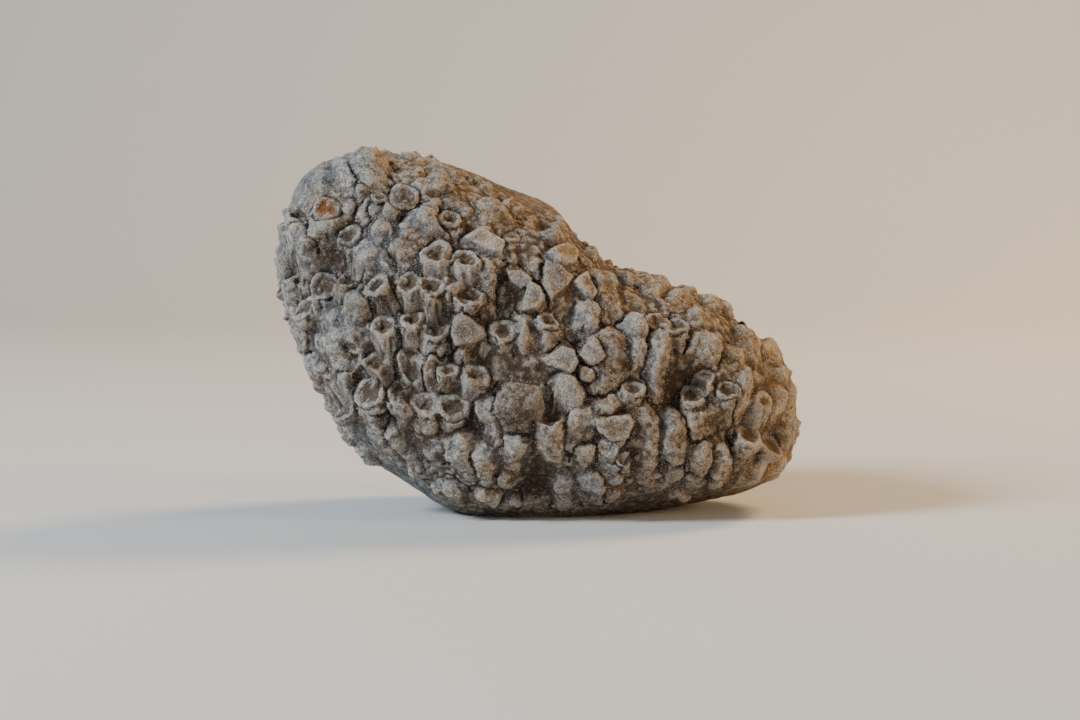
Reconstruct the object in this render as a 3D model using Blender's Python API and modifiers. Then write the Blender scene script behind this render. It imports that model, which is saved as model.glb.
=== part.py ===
"""A fossil coral head: one lump of limestone, worn round, with the packed tubes and open cups of a
colony of horn corals standing out of it all over. It rests on a flat break under its middle.

The head is one solid. The plain stone is a loft through cross-sections along X, every coral tube is a
short swept body laid on the stone's surface, and all of them are fused, thinned and cut flat below.
Sizes are in millimetres, and become metres where a mesh is made. +X runs along the head to its low
end, -Y is the side with the best cups, +Z is up, and the origin is on the flat it rests on.
"""

import math
import random

import bmesh
import bpy
import numpy as np
from mathutils import Matrix, Vector
from mathutils.bvhtree import BVHTree

MM = 0.001

# The plain stone. Each cross-section: place along X, bottom, top, front, back, and the Y of its crest
# and of its foot. The first and last close to a point.
SECTIONS = (
    (-68.9, 61.0, 61.0, -4.0, -4.0, -4.0, -4.0),
    (-66.8, 52.0, 73.6, -14.5, 9.0, 0.0, -3.0),
    (-63.2, 42.0, 82.8, -21.5, 17.0, 4.0, -2.0),
    (-56.8, 29.0, 87.0, -28.0, 23.0, 4.0, -3.0),
    (-48.5, 16.6, 88.6, -31.5, 28.5, 2.0, -4.0),
    (-38.0, 9.0, 88.0, -33.5, 32.0, 3.0, -4.0),
    (-26.0, 1.6, 85.6, -34.5, 34.0, 6.0, -3.0),
    (-13.0, -1.2, 80.2, -35.0, 35.0, 11.0, -1.0),
    (-2.0, -1.8, 75.6, -34.5, 34.5, 13.0, 1.0),
    (5.0, -1.4, 67.2, -34.0, 33.5, 8.0, 3.0),
    (13.0, -0.6, 60.8, -33.5, 32.0, 4.0, 6.0),
    (25.0, 1.0, 57.0, -32.0, 29.5, 2.0, 9.0),
    (36.5, 3.2, 52.4, -29.5, 26.5, 0.0, 9.0),
    (45.5, 5.6, 45.6, -25.0, 22.0, -1.0, 5.0),
    (52.6, 9.4, 40.4, -18.5, 15.5, -1.0, 0.0),
    (57.0, 15.4, 33.0, -9.5, 7.0, -1.0, -1.0),
    (58.4, 24.0, 24.0, -1.0, -1.0, -1.0, -1.0),
)
WIDEST_SHARE = 0.46  # how far up each section its front and back are widest
BOXINESS = 2.5  # power of the section's curve: 2 is an ellipse
FOOT = 1.4  # the head is cut flat at this height, and the cut then becomes Z = 0
RINGS_PER_SECTION = 5
POINTS_PER_RING = 72

# Broad hollows and swellings of the front: across, up, radius, and how far it stands out.
FRONT_SWELLS = (
    (-54.5, 63.0, 6.5, -4.6),
    (-51.5, 56.5, 5.0, -2.8),
    (-49.0, 72.0, 6.0, -2.6),
    (-35.0, 47.0, 9.0, -1.2),
    (-20.5, 26.5, 4.5, -2.6),
    (-13.0, 53.5, 5.5, -2.2),
    (-6.0, 9.5, 6.0, -3.2),
    (-10.0, 30.0, 8.0, 1.4),
    (2.0, 57.0, 9.0, 1.4),
    (3.0, 49.0, 4.5, -2.0),
    (28.5, 34.5, 6.5, -4.4),
    (27.5, 26.5, 4.5, -2.6),
    (24.0, 14.0, 3.0, -1.8),
    (41.5, 45.0, 4.0, -2.4),
    (39.5, 22.0, 5.0, -1.8),
)

# The tubes of the front, placed as they are seen from VIEWPOINT against the plane Y = 0.
VIEWPOINT = (-5.0, -640.0, 88.0)
# Open cups: middle of the mouth (across, up), girth, length, lean from upright to the right, and how round
# the mouth looks from VIEWPOINT (its height to its width).
CUPS = (
    # the left end and its shoulder
    (-57.3, 75.3, 6.5, 4.4, 0, 0.85),
    (-63.9, 73.2, 5.4, 4.6, 40, 0.65),
    (-67.2, 63.4, 5.2, 5.1, -5, 0.65),
    (-65.8, 58.4, 4.9, 6.6, -5, 0.5),
    (-62.4, 50.8, 7.2, 5.6, -15, 0.71),
    (-57.8, 56.2, 8.1, 7.1, 144, 0.9),
    (-51.6, 57.4, 7.2, 5.1, 20, 0.6),
    (-51, 68.5, 6.3, 4.1, 10, 0.73),
    (-44.2, 77.6, 4.0, 5.1, 25, 0.51),
    (-38.3, 78, 7.6, 4.1, 0, 0.92),
    (-40.6, 86.8, 4.9, 4.1, 0, 0.79),
    # the best cups, left of the middle
    (-44.9, 56.4, 6.3, 8.6, -20, 0.55),
    (-37.2, 57, 5.5, 4.1, -5, 0.82),
    (-43.3, 46.4, 6.9, 7.1, -3, 0.78),
    (-36.3, 48.3, 6.5, 5.1, 0, 0.66),
    (-45, 37.2, 7.4, 5.1, 0, 0.6),
    (-36.6, 39, 6.4, 5.6, 8, 0.62),
    (-46.6, 30.2, 7.7, 6.1, -8, 0.84),
    (-38, 30.2, 8.8, 6.6, 3, 0.66),
    (-33, 27.4, 7.2, 8.6, 2, 0.66),
    (-52.6, 25.6, 6.6, 4.1, 0, 0.85),
    (-26.5, 26.8, 7.8, 7.1, 0, 0.78),
    (-27.2, 34.5, 5.8, 6.1, 8, 0.55),
    (-20.6, 34.5, 7.3, 5.1, 15, 0.68),
    (-30.2, 45.4, 6.5, 6.6, 10, 0.58),
    (-22.6, 53.6, 6.9, 5.1, 10, 0.66),
    (-26.6, 57.6, 5.9, 6.6, 5, 0.58),
    (-31.8, 56.2, 6.5, 9.1, -3, 0.72),
    (-30.3, 63.8, 7.8, 6.1, -3, 0.66),
    (-23.5, 62.2, 7.1, 6.1, -3, 0.66),
    (-27.2, 72.4, 6.0, 6.1, -10, 0.65),
    # the middle
    (-14.1, 45, 6.7, 6.1, 0, 0.8),
    (-3, 47.6, 4.9, 7.6, 5, 0.63),
    (-11.8, 68.2, 4.0, 3.1, 0, 0.81),
    (-8.8, 72.8, 2.9, 2.6, 0, 0.9),
    (-2.4, 23.8, 7.2, 12.6, -8, 0.53),
    (15.4, 13.4, 4.8, 4.1, 24, 0.72),
    (17.8, 30.7, 5.4, 9.6, 0, 0.72),
    # the low end
    (24.2, 47.4, 6.0, 5.1, 0, 0.71),
    (27.9, 46.2, 6.5, 6.1, 0, 0.5),
    (35.4, 33.2, 5.8, 5.1, 10, 0.76),
    (32.9, 28.8, 7.2, 5.1, 8, 0.62),
    (41.2, 30.6, 5.3, 10.6, 3, 0.72),
    (49.6, 27.4, 6.3, 10.1, 30, 0.66),
    (46.4, 19.4, 7.4, 5.1, 5, 0.55),
    (51.8, 16.6, 6.9, 4.6, 5, 0.82),
    (52.6, 36.4, 5.2, 4.1, -10, 0.6),
    (56.4, 25, 4.7, 6.6, 10, 0.61),
)
# Closed and worn tubes lying along the stone: foot (across, up), head (across, up), and girth.
TUBES = (
    (-10.2, 23.4, -10, 27, 10.6),
    # the left end and its shoulder
    (-46.2, 80.4, -46.8, 85.2, 9.4),
    (-51.8, 80.8, -54, 86.2, 6.7),
    (-48.4, 77.4, -47.8, 79, 5.6),
    (-57.2, 68.2, -58.4, 71.6, 8.1),
    (-62.6, 66.6, -63.8, 69.6, 7.5),
    (-58.4, 80.2, -57.8, 83.4, 6.5),
    (-52.6, 73.4, -52.2, 75.4, 5.2),
    (-49.4, 71.6, -46.2, 77, 2.9),
    (-42.4, 73, -41, 75, 5.6),
    (-44, 67.6, -44.2, 69.8, 6.5),
    (-38.8, 82.2, -35.4, 84.4, 3.5),
    (-33.6, 80, -29.6, 80.6, 7.8),
    (-31.5, 84.6, -26.5, 83.4, 4.8),
    (-43.6, 60, -48, 65.2, 6.6),
    (-49.8, 48.4, -48.6, 52.8, 8.3),
    (-36.2, 60.2, -38.6, 65.8, 5.9),
    (-54.5, 41.2, -55, 43.8, 5.6),
    (-50.4, 42, -50.8, 44.4, 5.2),
    (-62, 39.6, -62.8, 43.4, 6.5),
    (-58.8, 31.2, -60.6, 37.2, 6.2),
    (-53.6, 34.6, -56.4, 42, 6.5),
    (-51.6, 29.4, -52.8, 34, 5.6),
    (-51.4, 16.6, -53.6, 21.4, 6.4),
    (-47.4, 13.6, -49.6, 15.6, 5.0),
    (-43.6, 15.2, -47.4, 23.2, 7.3),
    (-35.4, 12, -39.2, 21.6, 7.5),
    # the middle
    (-30.8, 68, -34.2, 71.4, 8.3),
    (-17.6, 70.8, -17, 74, 9.6),
    (-26.2, 76.2, -23, 74.8, 4.6),
    (-17.2, 51.6, -18.2, 60.2, 6.7),
    (-14, 49.8, -14.3, 55.6, 2.9),
    (-32.2, 35.2, -32.4, 37.4, 6.7),
    (-21.6, 37.8, -22.2, 39.6, 5.3),
    (-22.6, 10.2, -25, 18.2, 8.3),
    (-17.6, 8.8, -20, 15.2, 7.3),
    (-23, 9, -31, 19.6, 2.5),
    (-16.2, 17.2, -17.6, 27.2, 5.9),
    (-11.6, 11.8, -10.8, 17.8, 5.9),
    (-12.2, 7.6, -12.4, 8.6, 6.5),
    (-26.6, 3.6, -27.2, 6, 6.7),
    (-19.6, 3.2, -17.6, 4.2, 5.9),
    (-12.4, 2.4, -11.4, 3.4, 5.4),
    (-7, 2.4, -7, 4, 5.6),
    (-5.8, 59.8, -6, 61.4, 4),
    (5.8, 62.8, 7.2, 63.8, 5.4),
    (12.2, 48, 9.8, 57.4, 7.3),
    (5.4, 46.4, 5.6, 49.8, 7.3),
    (15.4, 58.6, 17.6, 57, 5.9),
    (22, 54.8, 23.6, 57.2, 7.3),
    (18.6, 40.2, 17.6, 46.2, 7.3),
    (11.2, 31.8, 12.8, 42.6, 8.1),
    (9, 26.6, 12, 26.8, 6.5),
    (23.2, 29.8, 24.4, 44.6, 6.7),
    (20.2, 7.8, 21.6, 25, 6.9),
    (22.4, 7.6, 24.6, 9, 5.6),
    (3.6, 17.6, 4.8, 23.8, 8.3),
    (6.6, 12, 6.8, 15.6, 5.6),
    (12.4, 8.8, 12.9, 16.4, 8.0),
    (-8.4, 41.6, -8.7, 46.8, 5.4),
    (8.4, 3.2, 8, 8.8, 5.6),
    (1.2, 2.4, 0.8, 8.2, 5.9),
    (12, 4, 12.4, 5, 5.4),
    # the low end
    (28, 13.6, 27.4, 22.4, 8.3),
    (27, 8.4, 27.2, 11, 6.2),
    (27.6, 5.4, 30.6, 5.2, 4.8),
    (32.6, 6, 33, 9.4, 5.9),
    (33.8, 10.6, 34.6, 15.6, 6.9),
    (34.2, 20, 34.6, 24.2, 7.5),
    (38.6, 8, 39.6, 15.2, 7.5),
    (44.6, 12.8, 45.2, 14.2, 5.4),
    (43.8, 7.4, 47.8, 9.8, 6.5),
    (53.2, 9.4, 54.2, 12, 5.6),
    (56, 17.6, 56.2, 20.2, 5.2),
    (53.4, 25.6, 54, 29.2, 5.9),
    (44.6, 27, 45.2, 34, 6.2),
    (28.6, 51.8, 30, 53.4, 6.2),
    (29.8, 56, 32, 55.6, 4.8),
    (36, 53.4, 38.8, 50.4, 6.9),
    (33.6, 47, 34.2, 48.6, 5.9),
    (36.6, 40, 36, 42.4, 7.5),
    (46.4, 38.8, 45.6, 43.2, 7.8),
    (42.2, 37, 42.6, 39.4, 5.3),
    (51.2, 40, 53.2, 41.8, 6.2),
)
# Flat flakes of split rock: how thick each lies, then its corners (across, up).
FLAKES = (
    (2.6, ((-24.5, 67.6), (-20.2, 69.6), (-13.4, 66.6), (-14.8, 63.2), (-19.6, 64.8))),
    (2.4, ((-13.2, 59.6), (-12.4, 57.2), (-10.0, 55.6), (-7.2, 57.6), (-9.4, 60.2))),
    (2.8, ((-7.6, 57.3), (-4.6, 56.0), (-3.2, 53.0), (-5.0, 50.6), (-9.8, 49.3), (-9.1, 54.2))),
    (2.6, ((-3.2, 64.0), (0.5, 65.6), (3.4, 64.2), (3.0, 61.2), (0.6, 60.4), (-2.4, 61.9))),
    (2.2, ((-4.2, 61.5), (-0.4, 60.3), (2.6, 57.6), (0.6, 55.0), (-2.4, 52.2), (-4.6, 55.6))),
    (2.8, ((2.4, 56.6), (5.8, 59.0), (8.3, 53.4), (7.2, 51.4), (4.8, 53.4))),
    (2.8, ((-4.7, 38.2), (0.6, 42.0), (3.6, 40.6), (4.0, 37.0), (2.8, 34.2), (-3.0, 36.6))),
    (3.4, ((7.6, 44.0), (9.6, 41.6), (11.4, 38.6), (10.0, 37.4), (7.0, 36.3), (4.0, 39.0))),
    (2.8, ((-3.0, 29.5), (0.2, 34.8), (3.6, 33.6), (6.3, 30.0), (6.0, 27.4), (2.4, 25.0))),
    (3.2, ((8.6, 23.8), (13.0, 24.8), (17.2, 24.6), (18.3, 22.4), (16.6, 18.8), (12.2, 18.2), (9.4, 20.6))),
    (3.6, ((14.0, 17.8), (17.8, 16.6), (17.8, 15.2), (15.6, 15.2))),
    (1.8, ((4.4, 36.2), (8.4, 35.8), (8.8, 33.4), (7.4, 32.0), (4.8, 32.6))),
    (3.6, ((-27.2, 44.4), (-26.4, 48.2), (-24.0, 49.8), (-17.4, 45.0), (-20.4, 42.2), (-25.6, 41.4))),
)

# The tubes of the other sides follow a rule: they stand this far apart and grow away from one point.
SEED = 41
SPACING = 6.6
GIRTHS = (5.2, 7.2)
LENGTHS = (3.5, 8.0)
RISES = (18, 42)
CUP_SHARE = 0.6
GROWTH_CENTRE = (0.0, 0.0, -25.0)
BARE_BELOW = 9.0  # no tube grows lower than this on those sides

SIDES = 10  # corners round a tube
FUSED_VOXEL = 0.8
WORN_PASSES = 4  # how often the fused surface is smoothed, as the stone is worn
BACK_FROM = 6.0  # the side away from VIEWPOINT starts here along Y
FRONT_TRIANGLES = 5500
BACK_TRIANGLES = 3080


def spaced(values, count):
    """The rows of values, smoothed into count steps a row by a Catmull-Rom curve."""
    rows = np.array(values, float)
    padded = np.vstack([rows[0], rows, rows[-1]])
    steps = np.arange(0, len(rows) - 1 + 1e-9, 1 / count)
    made = []
    for step in steps:
        i = min(int(step), len(rows) - 2)
        t = step - i
        a, b, c, d = padded[i : i + 4]
        made.append(
            0.5 * (2 * b + (c - a) * t + (2 * a - 5 * b + 4 * c - d) * t**2 + (3 * b - a - 3 * c + d) * t**3)
        )
    return np.array(made)


def section_ring(section):
    """One closed ring of the stone, from its front over the crest and round."""
    x, bottom, top, front, back, crest_y, foot_y = section
    widest = bottom + (top - bottom) * WIDEST_SHARE
    ring = []
    for i in range(POINTS_PER_RING):
        angle = 2 * math.pi * i / POINTS_PER_RING
        out, up = math.cos(angle), math.sin(angle)
        middle_y = crest_y if up > 0 else foot_y
        reach_y = (front if out > 0 else back) - middle_y
        reach_z = (top if up > 0 else bottom) - widest
        share_y = abs(out) ** (2 / BOXINESS)
        share_z = abs(up) ** (2 / BOXINESS)
        ring.append((x, middle_y + reach_y * share_y, widest + reach_z * share_z))
    return ring


def plain_stone():
    """The stone without its tubes, as a bmesh in millimetres."""
    bm = bmesh.new()
    rings = [
        [bm.verts.new(point) for point in section_ring(section)]
        for section in spaced(SECTIONS, RINGS_PER_SECTION)[1:-1]
    ]
    for ring, following in zip(rings, rings[1:]):
        for i in range(POINTS_PER_RING):
            j = (i + 1) % POINTS_PER_RING
            bm.faces.new((ring[i], ring[j], following[j], following[i]))
    for ring, tip in ((rings[0], SECTIONS[0]), (rings[-1], SECTIONS[-1])):
        point = bm.verts.new((tip[0], tip[3], tip[1]))
        for i in range(POINTS_PER_RING):
            bm.faces.new((ring[i], ring[(i + 1) % POINTS_PER_RING], point))
    bmesh.ops.recalc_face_normals(bm, faces=bm.faces)
    for vert in bm.verts:
        if vert.co.y < 0:
            for across, up, radius, stands_out in FRONT_SWELLS:
                off = math.hypot(vert.co.x - across, vert.co.z - up) / radius
                vert.co.y -= stands_out * math.exp(-off * off)
    bm.normal_update()
    return bm


class Ground:
    """The plain stone's surface, which everything else is laid on."""

    def __init__(self, bm):
        self.tree = BVHTree.FromBMesh(bm)

    def seen_at(self, across, up):
        """The point of the stone that is seen there from VIEWPOINT, or the nearest past its edge."""
        eye = Vector(VIEWPOINT)
        aim = (Vector((across, 0, up)) - eye).normalized()
        point = self.tree.ray_cast(eye, aim)[0]
        if point is None:
            steps = (eye + aim * (eye.length + depth) for depth in range(-40, 41, 2))
            point = min((self.tree.find_nearest(step) for step in steps), key=lambda hit: hit[3])[0]
        return point

    def frame(self, point, towards):
        """The nearest surface point, with unit vectors across, along (nearest to towards) and out."""
        place, out, _, _ = self.tree.find_nearest(point)
        along = (towards - out * towards.dot(out)).normalized()
        return place, along.cross(out), along, out

    def lay(self, place, axes, local):
        """Bends local points (across, along, out) from the flat onto the surface."""
        across, along, _ = axes
        made = []
        for a, b, height in local:
            foot, out, _, _ = self.tree.find_nearest(place + across * a + along * b)
            made.append(foot + out * height)
        return made


def settle(verts, ground, place, towards, tilt, lift):
    """Stands a body, made upright at the origin, on the surface: its top leans towards, tilt from flat."""
    spot, *axes = ground.frame(place, towards)
    rise = math.radians(tilt)
    local = []
    for vert in verts:
        side, over, up = vert.co
        along = up * math.cos(rise) - over * math.sin(rise)
        local.append((side, along, lift + up * math.sin(rise) + over * math.cos(rise)))
    for vert, point in zip(verts, ground.lay(spot, axes, local)):
        vert.co = point


def rise_of(ground, place, towards, roundness):
    """How far a cup turns out of the stone, in degrees, for its mouth to look that round from VIEWPOINT."""
    _, _, along, out = ground.frame(place, towards)
    turned = math.acos(roundness)
    mouth = (Vector(VIEWPOINT) - place).normalized() * math.cos(turned) + towards * math.sin(turned)
    return max(20.0, min(86.0, math.degrees(math.atan2(mouth.dot(out), mouth.dot(along)))))


def add_cup(bm, ground, place, towards, girth, length, rise):
    """An open cup: it widens up to a rounded rim, its mouth sinks to a small floor, and its foot is sunk."""
    radius = girth / 2
    stands = min(1.0, 0.35 + 0.65 * max(0.0, rise - 38) / 20)
    lift = radius * (0.95 * math.cos(math.radians(rise)) + 0.12) * stands
    body = bmesh.ops.create_cone(
        bm, cap_ends=True, segments=SIDES, radius1=0.74 * radius, radius2=radius, depth=length
    )["verts"]
    bmesh.ops.translate(bm, vec=(0, 0, -length / 2), verts=body)
    caps = {face for vert in body for face in vert.link_faces if len(face.verts) == SIDES}
    mouth = max(caps, key=lambda face: face.calc_center_median().z)
    mouth.normal_update()
    bmesh.ops.inset_region(bm, faces=[mouth], thickness=0.10 * radius, depth=0.04 * girth)
    bmesh.ops.inset_region(bm, faces=[mouth], thickness=0.22 * radius, depth=0.0)
    bmesh.ops.inset_region(bm, faces=[mouth], thickness=0.30 * radius, depth=-0.34 * girth)
    shell, queue = set(), [body[0]]
    while queue:
        vert = queue.pop()
        if vert not in shell:
            shell.add(vert)
            queue += [edge.other_vert(vert) for edge in vert.link_edges]
    settle(list(shell), ground, place, towards, rise, lift)


def add_tube(bm, ground, foot, head, girth):
    """A closed tube lying along the stone, round at both ends, a little over half of it showing."""
    radius = girth / 2
    half = (head - foot).length / 2
    body = bmesh.ops.create_uvsphere(bm, u_segments=SIDES, v_segments=8, radius=radius)["verts"]
    for vert in body:
        vert.co.z += half * max(-1.0, min(1.0, vert.co.z / (0.3 * radius)))
    settle(body, ground, (foot + head) / 2, head - foot, 4.0, -0.2 * radius)


def add_flake(bm, ground, thick, corners):
    """A flat flake with a slightly smaller top, half sunk in the stone."""
    seen = [ground.seen_at(*corner) for corner in corners]
    middle = sum(seen, Vector()) / len(seen)
    _, out, _, _ = ground.tree.find_nearest(middle)
    lower = bm.faces.new([bm.verts.new(point - out * 2.0) for point in seen])
    upper = bmesh.ops.extrude_face_region(bm, geom=[lower], use_keep_orig=True)["geom"]
    raised = [item for item in upper if isinstance(item, bmesh.types.BMVert)]
    for vert in raised:
        vert.co += out * (2.0 + thick * 0.55)
    top = next(item for item in upper if isinstance(item, bmesh.types.BMFace))
    bmesh.ops.inset_region(bm, faces=[top], thickness=0.8, depth=0.0)
    for vert in top.verts:
        vert.co += out * thick * 0.45


def scattered_places(bm, taken):
    """Places over the rest of the stone, at least SPACING apart and clear of the places taken."""
    chance = random.Random(SEED)
    faces = [f for f in bm.faces if f.calc_center_median().z > BARE_BELOW and f.normal.z > -0.82]
    areas = [f.calc_area() for f in faces]
    places = []
    for _ in range(9000):
        face = chance.choices(faces, areas)[0]
        corners = [v.co for v in face.verts]
        shares = [chance.random() for _ in corners]
        point = sum((c * s for c, s in zip(corners, shares)), Vector()) / sum(shares)
        if all((point - other).length > SPACING for other in taken + places):
            places.append(point)
    return places, chance


def grow_colony(bm, ground, stone):
    """Every tube, cup and flake of the head, as closed bodies that overlap the stone."""
    taken = []
    for across, up, girth, length, lean, roundness in CUPS:
        place = ground.seen_at(across, up)
        heading = Vector((math.sin(math.radians(lean)), 0, math.cos(math.radians(lean))))
        add_cup(bm, ground, place, heading, girth, length, rise_of(ground, place, heading, roundness))
        taken.append(place)
    for foot_x, foot_z, head_x, head_z, girth in TUBES:
        foot, head = ground.seen_at(foot_x, foot_z), ground.seen_at(head_x, head_z)
        add_tube(bm, ground, foot, head, girth)
        taken += [foot, (foot + head) / 2, head]
    for thick, corners in FLAKES:
        add_flake(bm, ground, thick, corners)
        seen = [ground.seen_at(*corner) for corner in corners]
        taken += seen + [sum(seen, Vector()) / len(seen)]
    places, chance = scattered_places(stone, taken)
    for place in places:
        heading = place - Vector(GROWTH_CENTRE)
        girth = chance.uniform(*GIRTHS)
        length = chance.uniform(*LENGTHS)
        if chance.random() < CUP_SHARE:
            add_cup(bm, ground, place, heading, girth, length, chance.uniform(*RISES))
        else:
            _, _, along, _ = ground.frame(place, heading)
            half = along * (length - girth * 0.4) / 2
            add_tube(bm, ground, place - half, place + half, girth)


def coral_material():
    """Weathered grey-brown limestone."""
    material = bpy.data.materials.new("fossil_coral")
    material.use_nodes = True
    shader = material.node_tree.nodes["Principled BSDF"]
    shader.inputs["Base Color"].default_value = (0.30, 0.245, 0.19, 1)
    shader.inputs["Roughness"].default_value = 0.9
    shader.inputs["Metallic"].default_value = 0.0
    material.diffuse_color = (0.30, 0.245, 0.19, 1)
    return material


def mesh_object(name, bm, collection):
    """An object in metres from a bmesh in millimetres."""
    bmesh.ops.scale(bm, vec=(MM, MM, MM), verts=bm.verts)
    mesh = bpy.data.meshes.new(name)
    bm.to_mesh(mesh)
    bm.free()
    made = bpy.data.objects.new(name, mesh)
    collection.objects.link(made)
    return made


def new_collection(name):
    collection = bpy.data.collections.new(name)
    bpy.context.scene.collection.children.link(collection)
    return collection


def applied(head, modifier_type, **settings):
    """Gives head one modifier and keeps its result as head's own mesh."""
    modifier = head.modifiers.new(modifier_type.lower(), modifier_type)
    for key, value in settings.items():
        setattr(modifier, key, value)
    graph = bpy.context.evaluated_depsgraph_get()
    mesh = bpy.data.meshes.new_from_object(head.evaluated_get(graph))
    head.modifiers.clear()
    head.data = mesh


def thin(head, at_back, wanted):
    """Leaves about the wanted number of triangles on the back, or on the front, and the rest as it is."""
    side = [(vert.co.y > BACK_FROM * MM) == at_back for vert in head.data.vertices]
    group = head.vertex_groups.new(name="thinned")
    group.add([i for i, here in enumerate(side) if here], 1.0, "REPLACE")
    there = sum(all(side[i] for i in face.vertices) for face in head.data.polygons)
    kept = 1 - max(0, there - wanted) / len(head.data.polygons)
    applied(head, "DECIMATE", ratio=kept, vertex_group=group.name)
    head.vertex_groups.clear()


def keep_largest_shell(mesh):
    """Deletes the small shells that close off gaps inside the fused head."""
    bm = bmesh.new()
    bm.from_mesh(mesh)
    bm.verts.ensure_lookup_table()
    unseen = set(bm.verts)
    shells = []
    while unseen:
        shell, edge_of = set(), [next(iter(unseen))]
        while edge_of:
            vert = edge_of.pop()
            if vert in shell:
                continue
            shell.add(vert)
            edge_of += [e.other_vert(vert) for e in vert.link_edges]
        unseen -= shell
        shells.append(shell)
    shells.sort(key=len)
    for shell in shells[:-1]:
        bmesh.ops.delete(bm, geom=list(shell), context="VERTS")
    bm.to_mesh(mesh)
    bm.free()


def main():
    for old in list(bpy.data.objects):
        bpy.data.objects.remove(old)
    parts = new_collection("fossil coral head")
    cutters = new_collection("cutters")

    stone = plain_stone()
    colony = stone.copy()
    grow_colony(colony, Ground(stone), stone)
    stone.free()
    head = mesh_object("coral_head", colony, parts)

    applied(head, "REMESH", mode="VOXEL", voxel_size=FUSED_VOXEL * MM)
    keep_largest_shell(head.data)
    applied(head, "SMOOTH", factor=0.5, iterations=WORN_PASSES)
    applied(head, "TRIANGULATE")
    thin(head, True, BACK_TRIANGLES)
    thin(head, False, FRONT_TRIANGLES)

    bm = bmesh.new()
    size = Matrix.Diagonal((200, 200, 20, 1))
    bmesh.ops.create_cube(bm, size=1, matrix=Matrix.Translation((0, 0, FOOT - 10)) @ size)
    below = mesh_object("below_the_flat", bm, cutters)
    below.hide_render = True
    below.display_type = "WIRE"
    applied(head, "BOOLEAN", operation="DIFFERENCE", object=below)
    head.data.transform(Matrix.Translation((0, 0, -FOOT * MM)))
    below.location.z = -FOOT * MM

    head.data.materials.clear()
    head.data.materials.append(coral_material())


main()
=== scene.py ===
"""Dresses the fossil coral head: the worn stone, its packed horn-coral tubes and cups, split flakes,
grit and mud, fused into one skin, with weathered limestone as its finish."""
import math
import random

import bmesh
import bpy
import numpy as np
from mathutils import Matrix, Vector, noise
from mathutils.bvhtree import BVHTree


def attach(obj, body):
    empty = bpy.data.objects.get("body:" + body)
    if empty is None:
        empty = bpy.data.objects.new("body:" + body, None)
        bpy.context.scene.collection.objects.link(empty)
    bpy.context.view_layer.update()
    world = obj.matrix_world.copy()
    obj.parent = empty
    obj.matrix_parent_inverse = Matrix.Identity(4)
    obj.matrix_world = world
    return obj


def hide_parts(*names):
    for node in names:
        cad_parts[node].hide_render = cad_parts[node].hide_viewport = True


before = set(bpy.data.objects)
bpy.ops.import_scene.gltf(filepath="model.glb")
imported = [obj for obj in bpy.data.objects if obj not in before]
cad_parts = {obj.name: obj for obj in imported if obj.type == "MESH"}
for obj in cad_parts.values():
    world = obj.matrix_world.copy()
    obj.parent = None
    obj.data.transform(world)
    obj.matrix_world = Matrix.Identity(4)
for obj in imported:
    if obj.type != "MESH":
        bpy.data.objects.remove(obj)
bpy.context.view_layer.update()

MM = 0.001

# ---------------------------------------------------------------------------------------------------
# The camera stands a little above the head, square to its best side, as for a small specimen on a
# table. Sizes here and below are millimetres over the head's flat foot, until a mesh is finished.
FOOT = 1.4
EYE = Vector((-5.0, -640.0, 88.0))
AIM = Vector((-4.9, 0.0, 38.0))

camera_data = bpy.data.cameras.new("specimen camera")
camera_data.lens = 86.7
camera_data.sensor_width = 36
camera_data.clip_start = 0.02
camera_data.clip_end = 20
camera = bpy.data.objects.new("specimen camera", camera_data)
bpy.context.scene.collection.objects.link(camera)
camera.location = (EYE - Vector((0, 0, FOOT))) * MM
camera.rotation_euler = (AIM - EYE).to_track_quat("-Z", "Y").to_euler()
bpy.context.scene.camera = camera

# ---------------------------------------------------------------------------------------------------
# The plain stone is a lump of limestone and hardened mud, high at its left end and low at its right,
# with a swollen back, a fresh break high at the left and hollows where mud has washed out.
SECTIONS = (  # along, bottom, top, front, back, across of the crest, across of the foot
    (-68.9, 61.0, 61.0, -4.0, -4.0, -4.0, -4.0),
    (-66.8, 52.0, 73.6, -14.5, 9.0, 0.0, -3.0),
    (-63.2, 42.0, 82.8, -21.5, 17.0, 4.0, -2.0),
    (-56.8, 29.0, 87.0, -28.0, 23.0, 4.0, -3.0),
    (-48.5, 16.6, 88.6, -31.5, 28.5, 2.0, -4.0),
    (-38.0, 9.0, 88.0, -33.5, 32.0, 3.0, -4.0),
    (-26.0, 1.6, 85.6, -34.5, 34.0, 6.0, -3.0),
    (-13.0, -1.2, 80.2, -35.0, 35.0, 11.0, -1.0),
    (-2.0, -1.8, 75.6, -34.5, 34.5, 13.0, 1.0),
    (5.0, -1.4, 67.2, -34.0, 33.5, 8.0, 3.0),
    (13.0, -0.6, 60.8, -33.5, 32.0, 4.0, 6.0),
    (25.0, 1.0, 57.0, -32.0, 29.5, 2.0, 9.0),
    (36.5, 3.2, 52.4, -29.5, 26.5, 0.0, 9.0),
    (45.5, 5.6, 45.6, -25.0, 22.0, -1.0, 5.0),
    (52.6, 9.4, 40.4, -18.5, 15.5, -1.0, 0.0),
    (57.0, 15.4, 33.0, -9.5, 7.0, -1.0, -1.0),
    (58.4, 24.0, 24.0, -1.0, -1.0, -1.0, -1.0),
)
WIDEST_SHARE = 0.46  # how far up each section it is widest
BOXINESS = 2.5  # 2 makes a section oval, and more makes it fuller at its corners
RINGS_PER_SECTION = 9
POINTS_PER_RING = 144
HALF_DEPTH = 40  # half of how deep the stone is, from front to back
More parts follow.
